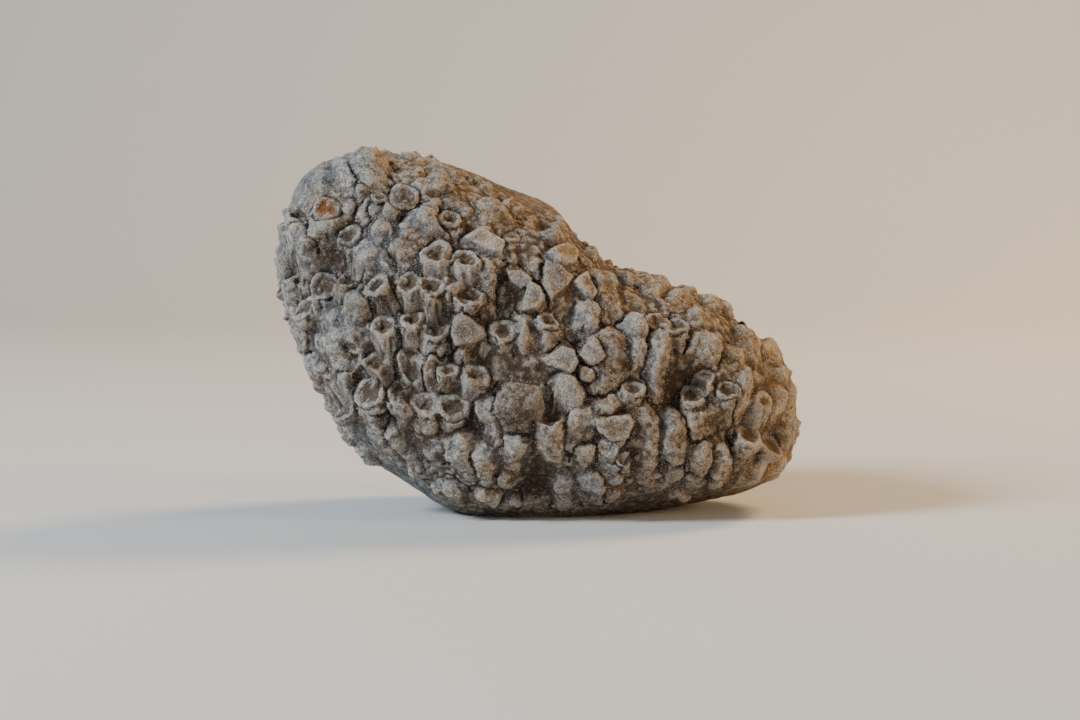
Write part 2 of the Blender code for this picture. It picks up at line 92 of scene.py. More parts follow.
FRONT_SWELLS = (  # across, up, radius, how far it stands out
    (-54.5, 63.0, 6.5, -4.6),
    (-51.5, 56.5, 5.0, -2.8),
    (-49.0, 72.0, 6.0, -2.6),
    (-35.0, 47.0, 9.0, -1.2),
    (-20.5, 26.5, 4.5, -2.6),
    (-13.0, 53.5, 5.5, -2.2),
    (-6.0, 9.5, 6.0, -3.2),
    (-10.0, 30.0, 8.0, 1.4),
    (2.0, 57.0, 9.0, 1.4),
    (3.0, 49.0, 4.5, -2.0),
    (28.5, 34.5, 6.5, -4.4),
    (27.5, 26.5, 4.5, -2.6),
    (24.0, 14.0, 3.0, -1.8),
    (41.5, 45.0, 4.0, -2.4),
    (39.5, 22.0, 5.0, -1.8),
)
rows = np.array(SECTIONS, float)
padded = np.vstack([rows[0], rows, rows[-1]])
outline_rings = []
for step in range(1, (len(rows) - 1) * RINGS_PER_SECTION):
    i, t = divmod(step, RINGS_PER_SECTION)
    t /= RINGS_PER_SECTION
    a, b, c, d = padded[i : i + 4]
    smoothed = 2 * b + (c - a) * t + (2 * a - 5 * b + 4 * c - d) * t**2 + (3 * b - a - 3 * c + d) * t**3
    along, bottom, top, front, back, crest_y, foot_y = 0.5 * smoothed
    widest = bottom + (top - bottom) * WIDEST_SHARE
    ring = []
    for turn in range(POINTS_PER_RING):
        angle = 2 * math.pi * turn / POINTS_PER_RING
        out, up = math.cos(angle), math.sin(angle)
        middle_y = crest_y if up > 0 else foot_y
        y = middle_y + ((front if out > 0 else back) - middle_y) * abs(out) ** (2 / BOXINESS)
        z = widest + ((top if up > 0 else bottom) - widest) * abs(up) ** (2 / BOXINESS)
        ring.append((along, y, z))
    outline_rings.append(ring)

stone = bmesh.new()
stone_rings = [[stone.verts.new(point) for point in ring] for ring in outline_rings]
for ring, following in zip(stone_rings, stone_rings[1:]):
    for i in range(POINTS_PER_RING):
        j = (i + 1) % POINTS_PER_RING
        stone.faces.new((ring[i], ring[j], following[j], following[i]))
for ring, tip in ((stone_rings[0], SECTIONS[0]), (stone_rings[-1], SECTIONS[-1])):
    point = stone.verts.new((tip[0], tip[3], tip[1]))
    for i in range(POINTS_PER_RING):
        stone.faces.new((ring[i], ring[(i + 1) % POINTS_PER_RING], point))
bmesh.ops.recalc_face_normals(stone, faces=stone.faces)
for vert in stone.verts:
    if vert.co.y < 0:
        for across, up, radius, stands_out in FRONT_SWELLS:
            off = math.hypot(vert.co.x - across, vert.co.z - up) / radius
            vert.co.y -= stands_out * math.exp(-off * off)
stone.normal_update()
ground = BVHTree.FromBMesh(stone)


def seen_at(across, up):
    """The stone's point that the eye sees there against the plane Y = 0, or the nearest past its edge."""
    aim = (Vector((across, 0, up)) - EYE).normalized()
    point = ground.ray_cast(EYE, aim)[0]
    if point is None:
        steps = (EYE + aim * (EYE.length + depth) for depth in range(-HALF_DEPTH, HALF_DEPTH + 1, 2))
        point = min((ground.find_nearest(step) for step in steps), key=lambda hit: hit[3])[0]
    return point


def laid(place, towards, rings):
    """Rings of local points (across, along, out) bent onto the stone, with along nearest to towards."""
    spot, out, _, _ = ground.find_nearest(place)
    along = (towards - out * towards.dot(out)).normalized()
    across = along.cross(out)
    bent = []
    for ring in rings:
        bent.append([])
        for a, b, height in ring:
            foot, normal, _, _ = ground.find_nearest(spot + across * a + along * b)
            bent[-1].append(foot + normal * height)
    return bent


# ---------------------------------------------------------------------------------------------------
# The corallites are the stony tubes that the coral's animals lived in. Each is a short horn that
# bends out of the stone to an open cup with a thick rim and a pit, or a worn tube lying along it.
ZONES = {"mud": 0, "wall": 1, "rim": 2, "pit": 3, "flake": 4, "grit": 5}
SIDES = 22
CUP_RINGS = (  # where along the horn (share of length, plus share of radius), radius, zone
    (0.0, -0.78, 0.20, "wall"),
    (0.0, -0.64, 0.52, "wall"),
    (0.0, -0.38, 0.78, "wall"),
    (0.0, -0.08, 0.93, "wall"),
    (0.22, 0.0, 0.99, "wall"),
    (0.44, 0.0, 1.02, "wall"),
    (0.66, 0.0, 1.04, "wall"),
    (0.86, 0.0, 1.03, "wall"),
    (0.97, 0.0, 0.98, "rim"),
    (1.0, 0.07, 0.88, "rim"),
    (1.0, 0.10, 0.77, "rim"),
    (1.0, 0.05, 0.66, "rim"),
    (1.0, -0.04, 0.57, "pit"),
    (1.0, -0.12, 0.49, "pit"),
    (1.0, -0.19, 0.36, "pit"),
    (1.0, -0.24, 0.16, "pit"),
)
LIP = CUP_RINGS[9]
TUBE_RINGS = (
    (0.0, -0.97, 0.22),
    (0.0, -0.82, 0.54),
    (0.0, -0.52, 0.83),
    (0.0, -0.18, 0.97),
    (0.12, 0.0, 1.0),
    (0.30, 0.0, 0.98),
    (0.50, 0.0, 1.0),
    (0.70, 0.0, 1.02),
    (0.88, 0.0, 1.0),
    (1.0, 0.18, 0.97),
    (1.0, 0.52, 0.83),
    (1.0, 0.82, 0.54),
    (1.0, 0.97, 0.22),
)


def waved(waves, fewest, around):
    """How far the waves round a tube, each a start and a depth, push its outline at one angle."""
    return sum(depth * math.cos((n + fewest) * around + start) for n, (start, depth) in enumerate(waves))


def horn(chance, girth, length, rise):
    """Local rings of a cup that bends up by rise degrees, with its mouth over the origin."""
    radius = girth / 2
    bend = [math.radians(6 + (rise - 6) * (k / 12) ** 1.2) for k in range(13)]
    reach = max(0.5, length - 0.9 * radius)
    step = reach / sum(math.cos(angle) for angle in bend)
    axis = [(0.0, 0.0)]
    for angle in bend:
        axis.append((axis[-1][0] + step * math.cos(angle), axis[-1][1] + step * math.sin(angle)))
    flat = chance.uniform(0.94, 1.10)
    dents = [(chance.uniform(0, 6.28), chance.uniform(0.02, 0.09)) for _ in range(3)]
    lip = [(chance.uniform(0, 6.28), chance.uniform(0.04, 0.15)) for _ in range(2)]
    stands = min(1.0, 0.35 + 0.65 * max(0.0, rise - 38) / 20)
    sunk = axis[-1][1] / radius - (0.9 * math.cos(bend[-1]) + 0.02) * stands
    rings, zones = [], []
    for share, extra, size, zone in CUP_RINGS:
        spot = min(share * 13, 12.999)
        k = int(spot)
        at = [axis[k][n] + (axis[k + 1][n] - axis[k][n]) * (spot - k) for n in (0, 1)]
        angle = bend[min(k, 12)]
        at = (at[0] + extra * radius * math.cos(angle), at[1] + extra * radius * math.sin(angle))
        ring = []
        for turn in range(SIDES):
            around = 2 * math.pi * turn / SIDES
            rough = 1 + waved(dents, 2, around)
            edge = waved(lip, 1, around)
            push = edge * radius * max(0.0, share - 0.5) * 2
            side = radius * size * rough * math.cos(around) * flat
            lift = radius * size * rough * math.sin(around) / flat
            ring.append(
                (
                    side,
                    at[0] - lift * math.sin(angle) + push * math.cos(angle) - axis[-1][0],
                    at[1] + lift * math.cos(angle) + push * math.sin(angle) - sunk * radius,
                )
            )
        rings.append(ring)
        zones.append(ZONES[zone])
    return rings, zones


def tube(chance, girth, length, proud=0.0):
    """Local rings of a worn tube centred on the origin, with its foot sunk and its head standing out."""
    radius = girth / 2
    bulges = [(chance.uniform(0, 6.28), chance.uniform(0.03, 0.10)) for _ in range(3)]
    waists = chance.uniform(0, 6.28)
    taper = chance.uniform(-0.04, 0.14)
    bow = chance.uniform(-0.5, 0.5) * length / 14
    flat = chance.uniform(0.98, 1.16)
    rings = []
    for share, extra, size in TUBE_RINGS:
        along = (share - 0.5) * length + extra * radius
        size = size * (1 + taper * (share - 0.5) * 2) * (1 + 0.05 * math.cos(along * 1.7 + waists))
        centre = radius * (-0.6 + 0.30 * share + proud) + 0.05 * math.sin(along * 1.3 + waists)
        aside = bow * (1 - (2 * share - 1) ** 2)
        ring = []
        for turn in range(SIDES):
            around = 2 * math.pi * turn / SIDES
            rough = 1 + waved(bulges, 2, around)
            ring.append(
                (
                    aside + radius * size * rough * math.cos(around) * flat,
                    along,
                    centre + radius * size * rough * math.sin(around),
                )
            )
        rings.append(ring)
    return rings, [ZONES["wall"]] * len(rings)


CUPS = (  # middle of the mouth (across, up), girth, length shown, lean to the right, how round it looks
    # the left end and its shoulder
    (-57.3, 75.3, 6.5, 4.4, 0, 0.85),
    (-63.9, 73.2, 5.4, 4.6, 40, 0.65),
    (-67.2, 63.4, 5.2, 5.1, -5, 0.65),
    (-65.8, 58.4, 4.9, 6.6, -5, 0.5),
    (-62.4, 50.8, 7.2, 5.6, -15, 0.71),
    (-57.8, 56.2, 7.6, 4.3, 0, 0.92),
    (-51.6, 57.4, 7.2, 5.1, 20, 0.6),
    (-51, 68.5, 6.3, 4.1, 10, 0.73),
    (-44.2, 77.6, 4.0, 5.1, 25, 0.51),
    (-38.3, 78, 7.6, 4.1, 0, 0.92),
    (-40.6, 86.8, 4.9, 4.1, 0, 0.79),
    # the best cups, left of the middle
    (-44.9, 56.4, 6.3, 8.6, -20, 0.55),
    (-37.2, 57, 5.5, 4.1, -5, 0.82),
    (-43.3, 46.4, 6.9, 7.1, -3, 0.78),
    (-36.3, 48.3, 6.5, 5.1, 0, 0.66),
    (-45, 37.2, 7.4, 5.1, 0, 0.6),
    (-36.6, 39, 6.4, 5.6, 8, 0.62),
    (-46.6, 30.2, 7.7, 6.1, -8, 0.84),
    (-38, 30.2, 8.8, 6.6, 3, 0.66),
    (-33, 27.4, 7.2, 8.6, 2, 0.66),
    (-52.6, 25.6, 6.6, 4.1, 0, 0.85),
    (-26.5, 26.8, 7.8, 7.1, 0, 0.78),
    (-27.6, 35.4, 5.2, 4.1, 8, 0.66),
    (-20.6, 34.5, 7.3, 5.1, 15, 0.68),
    (-30.2, 45.4, 6.5, 6.6, 10, 0.58),
    (-22.6, 53.6, 6.9, 5.1, 10, 0.66),
    (-26.6, 57.6, 5.9, 6.6, 5, 0.58),
    (-31.8, 56.2, 6.5, 9.1, -3, 0.72),
    (-30.3, 63.8, 7.8, 6.1, -3, 0.66),
    (-23.5, 62.2, 7.1, 6.1, -3, 0.66),
    (-27.2, 72.4, 6.0, 6.1, -10, 0.65),
    # the middle
    (-14.1, 45, 6.7, 6.1, 0, 0.8),
    (-3, 47.6, 4.9, 7.6, 5, 0.63),
    (-11.8, 68.2, 4.0, 3.1, 0, 0.81),
    (-8.8, 72.8, 2.9, 2.6, 0, 0.9),
    (-2.4, 23.8, 7.2, 12.6, -8, 0.53),
    (15.4, 13.4, 4.8, 4.1, 24, 0.72),
    (17.8, 30.7, 5.4, 9.6, 0, 0.72),
    # the low end
    (24.2, 47.4, 6.0, 5.1, 0, 0.71),
    (27.9, 46.2, 6.5, 6.1, 0, 0.5),
    (35.4, 33.2, 5.8, 5.1, 10, 0.76),
    (32.9, 28.8, 7.2, 5.1, 8, 0.62),
    (41.2, 30.6, 5.3, 10.6, 3, 0.72),
    (49.6, 27.4, 6.3, 10.1, 30, 0.66),
    (46.4, 19.4, 7.4, 5.1, 5, 0.55),
    (51.8, 16.6, 6.9, 4.6, 5, 0.82),
    (52.6, 36.4, 5.2, 4.1, -10, 0.6),
    (56.4, 25, 4.7, 6.6, 10, 0.61),
)
TUBES = (  # foot (across, up), head (across, up), girth, and how much prouder it stands, in radii
    (-10.2, 23.4, -10, 27, 10.6, 0.2),
    # the left end and its shoulder
    (-46.4, 81.0, -46.8, 85.3, 8.8, 0.36),
    (-51.0, 80.2, -54, 85.2, 5.4, 0.36),
    (-48.4, 77.4, -47.8, 79, 5.6),
    (-57.2, 68.2, -58.4, 71.6, 8.1),
    (-62.6, 66.6, -63.8, 69.6, 7.5),
    (-58.4, 80.2, -57.8, 83.4, 6.5),
    (-52.6, 73.4, -52.2, 75.4, 5.2),
    (-49.4, 71.6, -46.2, 77, 2.9),
    (-42.4, 73, -41, 75, 5.6),
    (-44, 67.6, -44.2, 69.8, 6.5),
    (-38.8, 82.2, -35.4, 84.4, 3.5),
    (-34.4, 80, -29.6, 80.6, 7.0, 0.25),
    (-31.5, 84.6, -26.5, 83.4, 4.8),
    (-43.6, 60, -48, 65.2, 6.6),
    (-49.8, 48.4, -48.6, 52.8, 8.3),
    (-36.2, 60.2, -38.6, 65.8, 5.9),
    (-54.5, 41.2, -55, 43.8, 5.6),
    (-50.4, 42, -50.8, 44.4, 5.2),
    (-62, 39.6, -62.8, 43.4, 6.5),
    (-58.8, 31.2, -60.6, 37.2, 6.2),
    (-53.6, 34.6, -56.4, 42, 6.5),
    (-51.6, 29.4, -52.8, 34, 5.6),
    (-47.8, 15.8, -53.0, 21.6, 5.6),
    (-41.2, 14.2, -46.2, 24.8, 5.6),
    (-34.6, 11.6, -40.8, 20.2, 6.8),
    (-31.4, 9.4, -35.6, 11.6, 4.4),
    (-44.8, 12.6, -48.4, 13.8, 4.6),
    # the middle
    (-30.8, 68, -34.2, 71.4, 8.3),
    (-17.6, 70.8, -17, 74, 9.6),
    (-26.2, 76.2, -23, 74.8, 4.6),
    (-17.2, 51.6, -18.2, 60.2, 6.7),
    (-14, 49.8, -14.3, 55.6, 2.9),
    (-32.2, 35.2, -32.4, 37.4, 6.7),
    (-21.6, 37.8, -22.2, 39.6, 5.3),
    (-22.6, 10.2, -25, 18.2, 8.3),
    (-17.6, 8.8, -20, 15.2, 7.3),
    (-23, 9, -31, 19.6, 2.5),
    (-16.2, 17.2, -17.6, 27.2, 5.9),
    (-11.6, 11.8, -10.8, 17.8, 5.9),
    (-12.2, 7.6, -12.4, 8.6, 6.5),
    (-26.6, 3.6, -27.2, 6, 6.7),
    (-19.6, 3.2, -17.6, 4.2, 5.9),
    (-12.4, 2.4, -11.4, 3.4, 5.4),
    (-7, 2.4, -7, 4, 5.6),
    (-5.8, 59.8, -6, 61.4, 4),
    (5.8, 62.8, 7.2, 63.8, 5.4),
    (12.2, 48, 9.8, 57.4, 7.3),
    (5.4, 46.4, 5.6, 49.8, 7.3),
    (15.4, 58.6, 17.6, 57, 5.9),
    (22, 54.8, 23.6, 57.2, 7.3),
    (18.6, 40.2, 17.6, 46.2, 7.3),
    (11.2, 31.8, 12.8, 42.6, 8.1),
    (9, 26.6, 12, 26.8, 6.5),
    (23.2, 29.8, 24.4, 44.6, 6.7),
    (20.2, 7.8, 21.6, 25, 6.9),
    (22.4, 7.6, 24.6, 9, 5.6),
    (3.6, 17.6, 4.8, 23.8, 8.3),
    (6.6, 12, 6.8, 15.6, 5.6),
    (12.4, 8.8, 12.9, 16.4, 8.0),
    (-8.4, 41.6, -8.7, 46.8, 5.4),
    (8.4, 3.2, 8, 8.8, 5.6),
    (1.2, 2.4, 0.8, 8.2, 5.9),
    (12, 4, 12.4, 5, 5.4),
    # the low end
    (28, 13.6, 27.4, 22.4, 8.3),
    (27, 8.4, 27.2, 11, 6.2),
    (27.6, 5.4, 30.6, 5.2, 4.8),
    (32.6, 6, 33, 9.4, 5.9),
    (33.8, 10.6, 34.6, 15.6, 6.9),
    (34.2, 20, 34.6, 24.2, 7.5),
    (38.6, 8, 39.6, 15.2, 7.5),
    (44.6, 12.8, 45.2, 14.2, 5.4),
    (43.8, 7.4, 47.8, 9.8, 6.5),
    (53.2, 9.4, 54.2, 12, 5.6),
    (56, 17.6, 56.2, 20.2, 5.2),
    (53.4, 25.6, 54, 29.2, 5.9),
    (44.6, 27, 45.2, 34, 6.2),
    (28.6, 51.8, 30, 53.4, 6.2),
    (29.8, 56, 32, 55.6, 4.8),
    (36, 53.4, 38.8, 50.4, 6.9),
    (33.6, 47, 34.2, 48.6, 5.9),
    (36.6, 40, 36, 42.4, 7.5),
    (46.4, 38.8, 45.6, 43.2, 7.8),
    (42.2, 37, 42.6, 39.4, 5.3),
    (51.2, 40, 53.2, 41.8, 6.2),
)

CORALLITE_SEED = 11
UNEVEN = 0.9  # how far growth and wear have pushed a tube or cup out of its even shape
points, faces, face_body, face_zone = [], [], [], []
anchors = []  # middle and reach of everything placed, which the scattered tubes keep clear of
mouths = []  # middle, outward direction, radius, how whole the rim is and how deep the pit, for each


def add_body(rings, zones, uneven=UNEVEN):
    """Adds a closed body of rings to the colony, as one numbered piece of it, with an uneven outline."""
    start, count, body = len(points), len(rings[0]), (face_body[-1] + 1 if face_body else 1)
    for ring in rings:
        for point in ring:
            push = noise.noise_vector(point * 0.17) + 0.6 * noise.noise_vector(point * 0.45)
            points.append(point + push * uneven)
    for k in range(len(rings) - 1):
        for i in range(count):
            j = (i + 1) % count
            low, high = start + k * count, start + (k + 1) * count
            faces.append((low + i, low + j, high + j, high + i))
            face_body.append(body)
            face_zone.append(max(zones[k], zones[k + 1]))
    last = start + (len(rings) - 1) * count
    faces.append(tuple(range(start + count - 1, start - 1, -1)))
    faces.append(tuple(range(last, last + count)))
    face_body.extend((body, body))
    face_zone.extend((zones[0], zones[-1]))


chance = random.Random(CORALLITE_SEED)
noise.seed_set(CORALLITE_SEED)
for across, up, girth, length, lean, roundness in CUPS:
    place = seen_at(across, up)
    heading = Vector((math.sin(math.radians(lean)), 0, math.cos(math.radians(lean))))
    normal = ground.find_nearest(place)[1]
    along = (heading - normal * heading.dot(normal)).normalized()
    turned = math.acos(roundness)
    mouth = (EYE - place).normalized() * math.cos(turned) + heading * math.sin(turned)
    rise = max(20.0, min(86.0, math.degrees(math.atan2(mouth.dot(normal), mouth.dot(along)))))
    rings, zones = horn(chance, girth, length, rise)
    bent = laid(place, heading, rings)
    add_body(bent, zones, UNEVEN / 2)
    lip = bent[CUP_RINGS.index(LIP)]
    middle = sum(lip, Vector()) / SIDES
    facing = sum((lip[i - 1].cross(lip[i]) for i in range(SIDES)), Vector()).normalized()
    reach = sum((point - middle).length for point in lip) / SIDES / LIP[2]
    facing = facing if facing.dot(mouth) > 0 else -facing
    whole = max(0.0, min(1.0, (roundness - 0.52) / 0.15))
    shallow = max(0.0, min(1.0, (roundness - 0.7) / 0.15))
    mouths.append((middle, facing, reach, whole, 1.0 - 0.55 * shallow))
    anchors.append((*place, girth / 2))
    anchors.append((*(place - heading * length * 0.6), girth / 2))
for foot_x, foot_z, head_x, head_z, girth, *proud in TUBES:
    foot, crown = seen_at(foot_x, foot_z), seen_at(head_x, head_z)
    rings, zones = tube(chance, girth, (crown - foot).length, *proud)
    add_body(laid((foot + crown) / 2, crown - foot, rings), zones)
    for share in (0, 0.33, 0.67, 1):
        anchors.append((*foot.lerp(crown, share), girth / 2))

# ---------------------------------------------------------------------------------------------------
# The flakes are flat splinters of the coral and the rock round it, split off and cemented back, with
# sharp corners and thin cracks between them.
FLAKE_EDGE = ((1.0, 0.7), (0.97, 0.86), (0.90, 0.9))  # its rings' sizes, and heights in thicknesses
FLAKE_ROOT = -2.4
FLAKES = (  # how thick it stands, then its corners (across, up)
    (2.6, ((-24.5, 67.6), (-20.2, 69.6), (-13.4, 66.6), (-14.8, 63.2), (-19.6, 64.8))),
    (2.4, ((-13.2, 59.6), (-12.4, 57.2), (-10.0, 55.6), (-7.2, 57.6), (-9.4, 60.2))),
    (2.8, ((-7.6, 57.3), (-4.6, 56.0), (-3.2, 53.0), (-5.0, 50.6), (-9.8, 49.3), (-9.1, 54.2))),
    (2.6, ((-3.2, 64.0), (0.5, 65.6), (3.4, 64.2), (3.0, 61.2), (0.6, 60.4), (-2.4, 61.9))),
    (2.2, ((-4.2, 61.5), (-0.4, 60.3), (2.6, 57.6), (0.6, 55.0), (-2.4, 52.2), (-4.6, 55.6))),
    (2.8, ((2.4, 56.6), (5.8, 59.0), (8.3, 53.4), (7.2, 51.4), (4.8, 53.4))),
    (2.8, ((-4.7, 38.2), (0.6, 42.0), (3.6, 40.6), (4.0, 37.0), (2.8, 34.2), (-3.0, 36.6))),
    (3.4, ((7.6, 44.0), (9.6, 41.6), (11.4, 38.6), (10.0, 37.4), (7.0, 36.3), (4.0, 39.0))),
    (2.8, ((-3.0, 29.5), (0.2, 34.8), (3.6, 33.6), (6.3, 30.0), (6.0, 27.4), (2.4, 25.0))),
    (3.2, ((8.6, 23.8), (13.0, 24.8), (17.2, 24.6), (18.3, 22.4), (16.6, 18.8), (12.2, 18.2), (9.4, 20.6))),
    (3.6, ((14.0, 17.8), (17.8, 16.6), (17.8, 15.2), (15.6, 15.2))),
    (1.8, ((4.4, 36.2), (8.4, 35.8), (8.8, 33.4), (7.4, 32.0), (4.8, 32.6))),
    (3.6, ((-27.2, 44.4), (-26.4, 48.2), (-24.0, 49.8), (-17.4, 45.0), (-20.4, 42.2), (-25.6, 41.4))),
)
for thick, corners in FLAKES:
    seen = [seen_at(*corner) for corner in corners]
    middle = sum(seen, Vector()) / len(seen)
    out = ground.find_nearest(middle)[1]
    rings = []
    for size, height in ((1.0, FLAKE_ROOT), *((size, thick * share) for size, share in FLAKE_EDGE)):
        rings.append([middle + (point - middle) * size + out * height for point in reversed(seen)])
    add_body(rings, [ZONES["flake"]] * len(rings))
    anchors.append((*middle, max((point - middle).length for point in seen) * 0.8))

# ---------------------------------------------------------------------------------------------------
# The other sides carry the same coral, worn lower. Its tubes and cups stand a girth apart, growing up
# and out from the colony's root, and leave bare the foot, the smooth underside and the fresh break.
ROOT = Vector((0.0, 0.0, -25.0))
SHAPES_SEED = 23
ROOM_FOR_CORAL = 2.6  # how far scattered coral keeps clear of every tube and cup that has its own place
ROOM_FOR_RUBBLE = 0.4
GRIT_ON_MUD = 0.15  # how much of the grit stays on mud, the fresh break and the underside
MUD_HOLLOWS = (  # across, up, radius: where the mud between the tubes lies bare and smooth
    (-56.0, 49.0, 3.6),
    (-55.5, 62.0, 4.2),
    (-33.0, 39.5, 2.0),
    (-21.5, 25.0, 3.0),
    (-14.0, 37.0, 4.5),
    (-6.5, 10.0, 5.0),
    (27.6, 33.0, 4.2),
    (24.0, 15.5, 1.6),
    (52.4, 22.0, 2.4),
    (16.4, 34.6, 2.0),
    (1.0, 44.2, 1.8),
    (-9.0, 76.0, 4.0),
    (-41.6, 82.0, 2.4),
    (-49.0, 76.0, 2.2),
    (-47.0, 73.0, 2.0),
    (-52.5, 66.5, 3.6),
    (-61.0, 80.0, 5.0),
)


def coral_object(name, rings, zones):
    """A tube or cup to be repeated, as an object of its own."""
    count = len(rings[0])
    built = bmesh.new()
    zone_layer = built.faces.layers.int.new("zone")
    loops = [[built.verts.new(point) for point in ring] for ring in rings]
    for k, (ring, following) in enumerate(zip(loops, loops[1:])):
        for i in range(count):
            j = (i + 1) % count
            face = built.faces.new((ring[i], ring[j], following[j], following[i]))
            face[zone_layer] = max(zones[k], zones[k + 1])
    built.faces.new(list(reversed(loops[0])))[zone_layer] = zones[0]
    built.faces.new(loops[-1])[zone_layer] = zones[-1]
    mesh = bpy.data.meshes.new(name)
    built.to_mesh(mesh)
    built.free()
    return bpy.data.objects.new(name, mesh)


def crumb_object(name, subdivisions, worn, *given):
    """A crumb of stone to be repeated: a ball whose points are moved by worn."""
    built = bmesh.new()
    bmesh.ops.create_icosphere(built, subdivisions=subdivisions, radius=1.0)
    for vert in built.verts:
        vert.co = worn(vert.co, *given)
    zone_layer = built.faces.layers.int.new("zone")
    for face in built.faces:
        face[zone_layer] = ZONES["grit"]
    mesh = bpy.data.meshes.new(name)
    built.to_mesh(mesh)
    built.free()
    return bpy.data.objects.new(name, mesh)


def worn_chip(point):
    """A chip of grit, worn flat."""
    point = point * chance.uniform(0.6, 1.1)
    return Vector((point.x, point.y, point.z * 0.7))


def knocked_lump(point, number, stretch):
    """A lump of rubble, knocked out of round and stretched."""
    knock = noise.cell(point * 1.3 + Vector((number * 7.0, 0, 0)))
    point = point * (0.85 + 0.3 * knock + 0.25 * noise.noise(point * 1.4 + Vector((0, number * 5.0, 0))))
    return Vector(a * b for a, b in zip(point, stretch))


chance = random.Random(SHAPES_SEED)
coral_shapes = bpy.data.collections.new("coral shapes")
for k in range(12):
    if k % 5 < 3:
        girth, length, rise = chance.uniform(5.0, 6.8), chance.uniform(4.0, 8.0), chance.uniform(28, 50)
        rings, zones = horn(chance, girth, length, rise)
    else:
        rings, zones = tube(chance, chance.uniform(4.4, 6.0), chance.uniform(1.0, 7.0))
    coral_shapes.objects.link(coral_object(f"coral shape {k:02d}", rings, zones))
grit_shapes = bpy.data.collections.new("grit shapes")
for k in range(6):
    grit_shapes.objects.link(crumb_object(f"grit shape {k}", 1, worn_chip))
rubble_shapes = bpy.data.collections.new("rubble shapes")
for k in range(10):
    stretch = Vector((chance.uniform(0.8, 1.5), chance.uniform(0.8, 1.5), chance.uniform(0.55, 0.85)))
    rubble_shapes.objects.link(crumb_object(f"rubble shape {k}", 2, knocked_lump, k, stretch))


def keep_on_points(mesh, **kept):
    """Keeps one number for each of a mesh's points under each name, in which _ stands for a space."""
    for name, values in kept.items():
        layer = mesh.attributes.new(name.replace("_", " "), "FLOAT", "POINT")
        layer.data.foreach_set("value", np.asarray(values, np.float32))


stone_mesh = bpy.data.meshes.new("plain stone")
stone.to_mesh(stone_mesh)
stone_points = np.array([v.co for v in stone_mesh.vertices])
stone_out = np.array([v.normal for v in stone_mesh.vertices])
clear = np.full(len(stone_points), 99.0)
for x, y, z, reach in anchors:
    clear = np.minimum(clear, np.linalg.norm(stone_points - (x, y, z), axis=1) - reach)
underside = (stone_out[:, 2] < -0.5) | (stone_points[:, 2] < 7)
fresh_break = (stone_points[:, 0] < -54) & (stone_points[:, 1] > -4) & (stone_points[:, 2] > 72)
crest = (abs(stone_points[:, 0] + 12) < 18) & (stone_points[:, 1] > -6) & (stone_out[:, 2] > 0.55)
bare = underside | fresh_break
muddy = np.zeros(len(stone_points), bool)
for across, up, radius in MUD_HOLLOWS:
    off = np.hypot(stone_points[:, 0] - across, stone_points[:, 2] - up)
    muddy |= (off < radius) & (stone_points[:, 1] < 0)
to_eye = np.array(EYE) - stone_points
turned_away = np.einsum("ij,ij->i", stone_out, to_eye) / np.linalg.norm(to_eye, axis=1)
keep_on_points(
    stone_mesh,
    room_for_coral=(clear > ROOM_FOR_CORAL) & ~bare & ~muddy & ~crest,
    room_for_rubble=(clear > ROOM_FOR_RUBBLE) & ~bare & ~muddy & ~crest,
    room_for_grit=np.where(bare | muddy, GRIT_ON_MUD, 1.0),
    worn=np.interp(abs(turned_away + 0.05), (0.2, 0.45), (0.6, 1.0)),
)
plain_stone = bpy.data.objects.new("plain stone", stone_mesh)
bpy.context.scene.collection.objects.link(plain_stone)
dull = bpy.data.materials.new("unfinished stone")
SCATTER_INPUTS = {
    "Surface": "Geometry",
    "Shapes": "Collection",
    "Spacing": "Float",
    "Smallest": "Float",
    "Largest": "Float",
    "Worn": "Float",
    "Root": "Vector",
    "Seed": "Int",
    "Room": "Float",
    "Material": "Material",
}


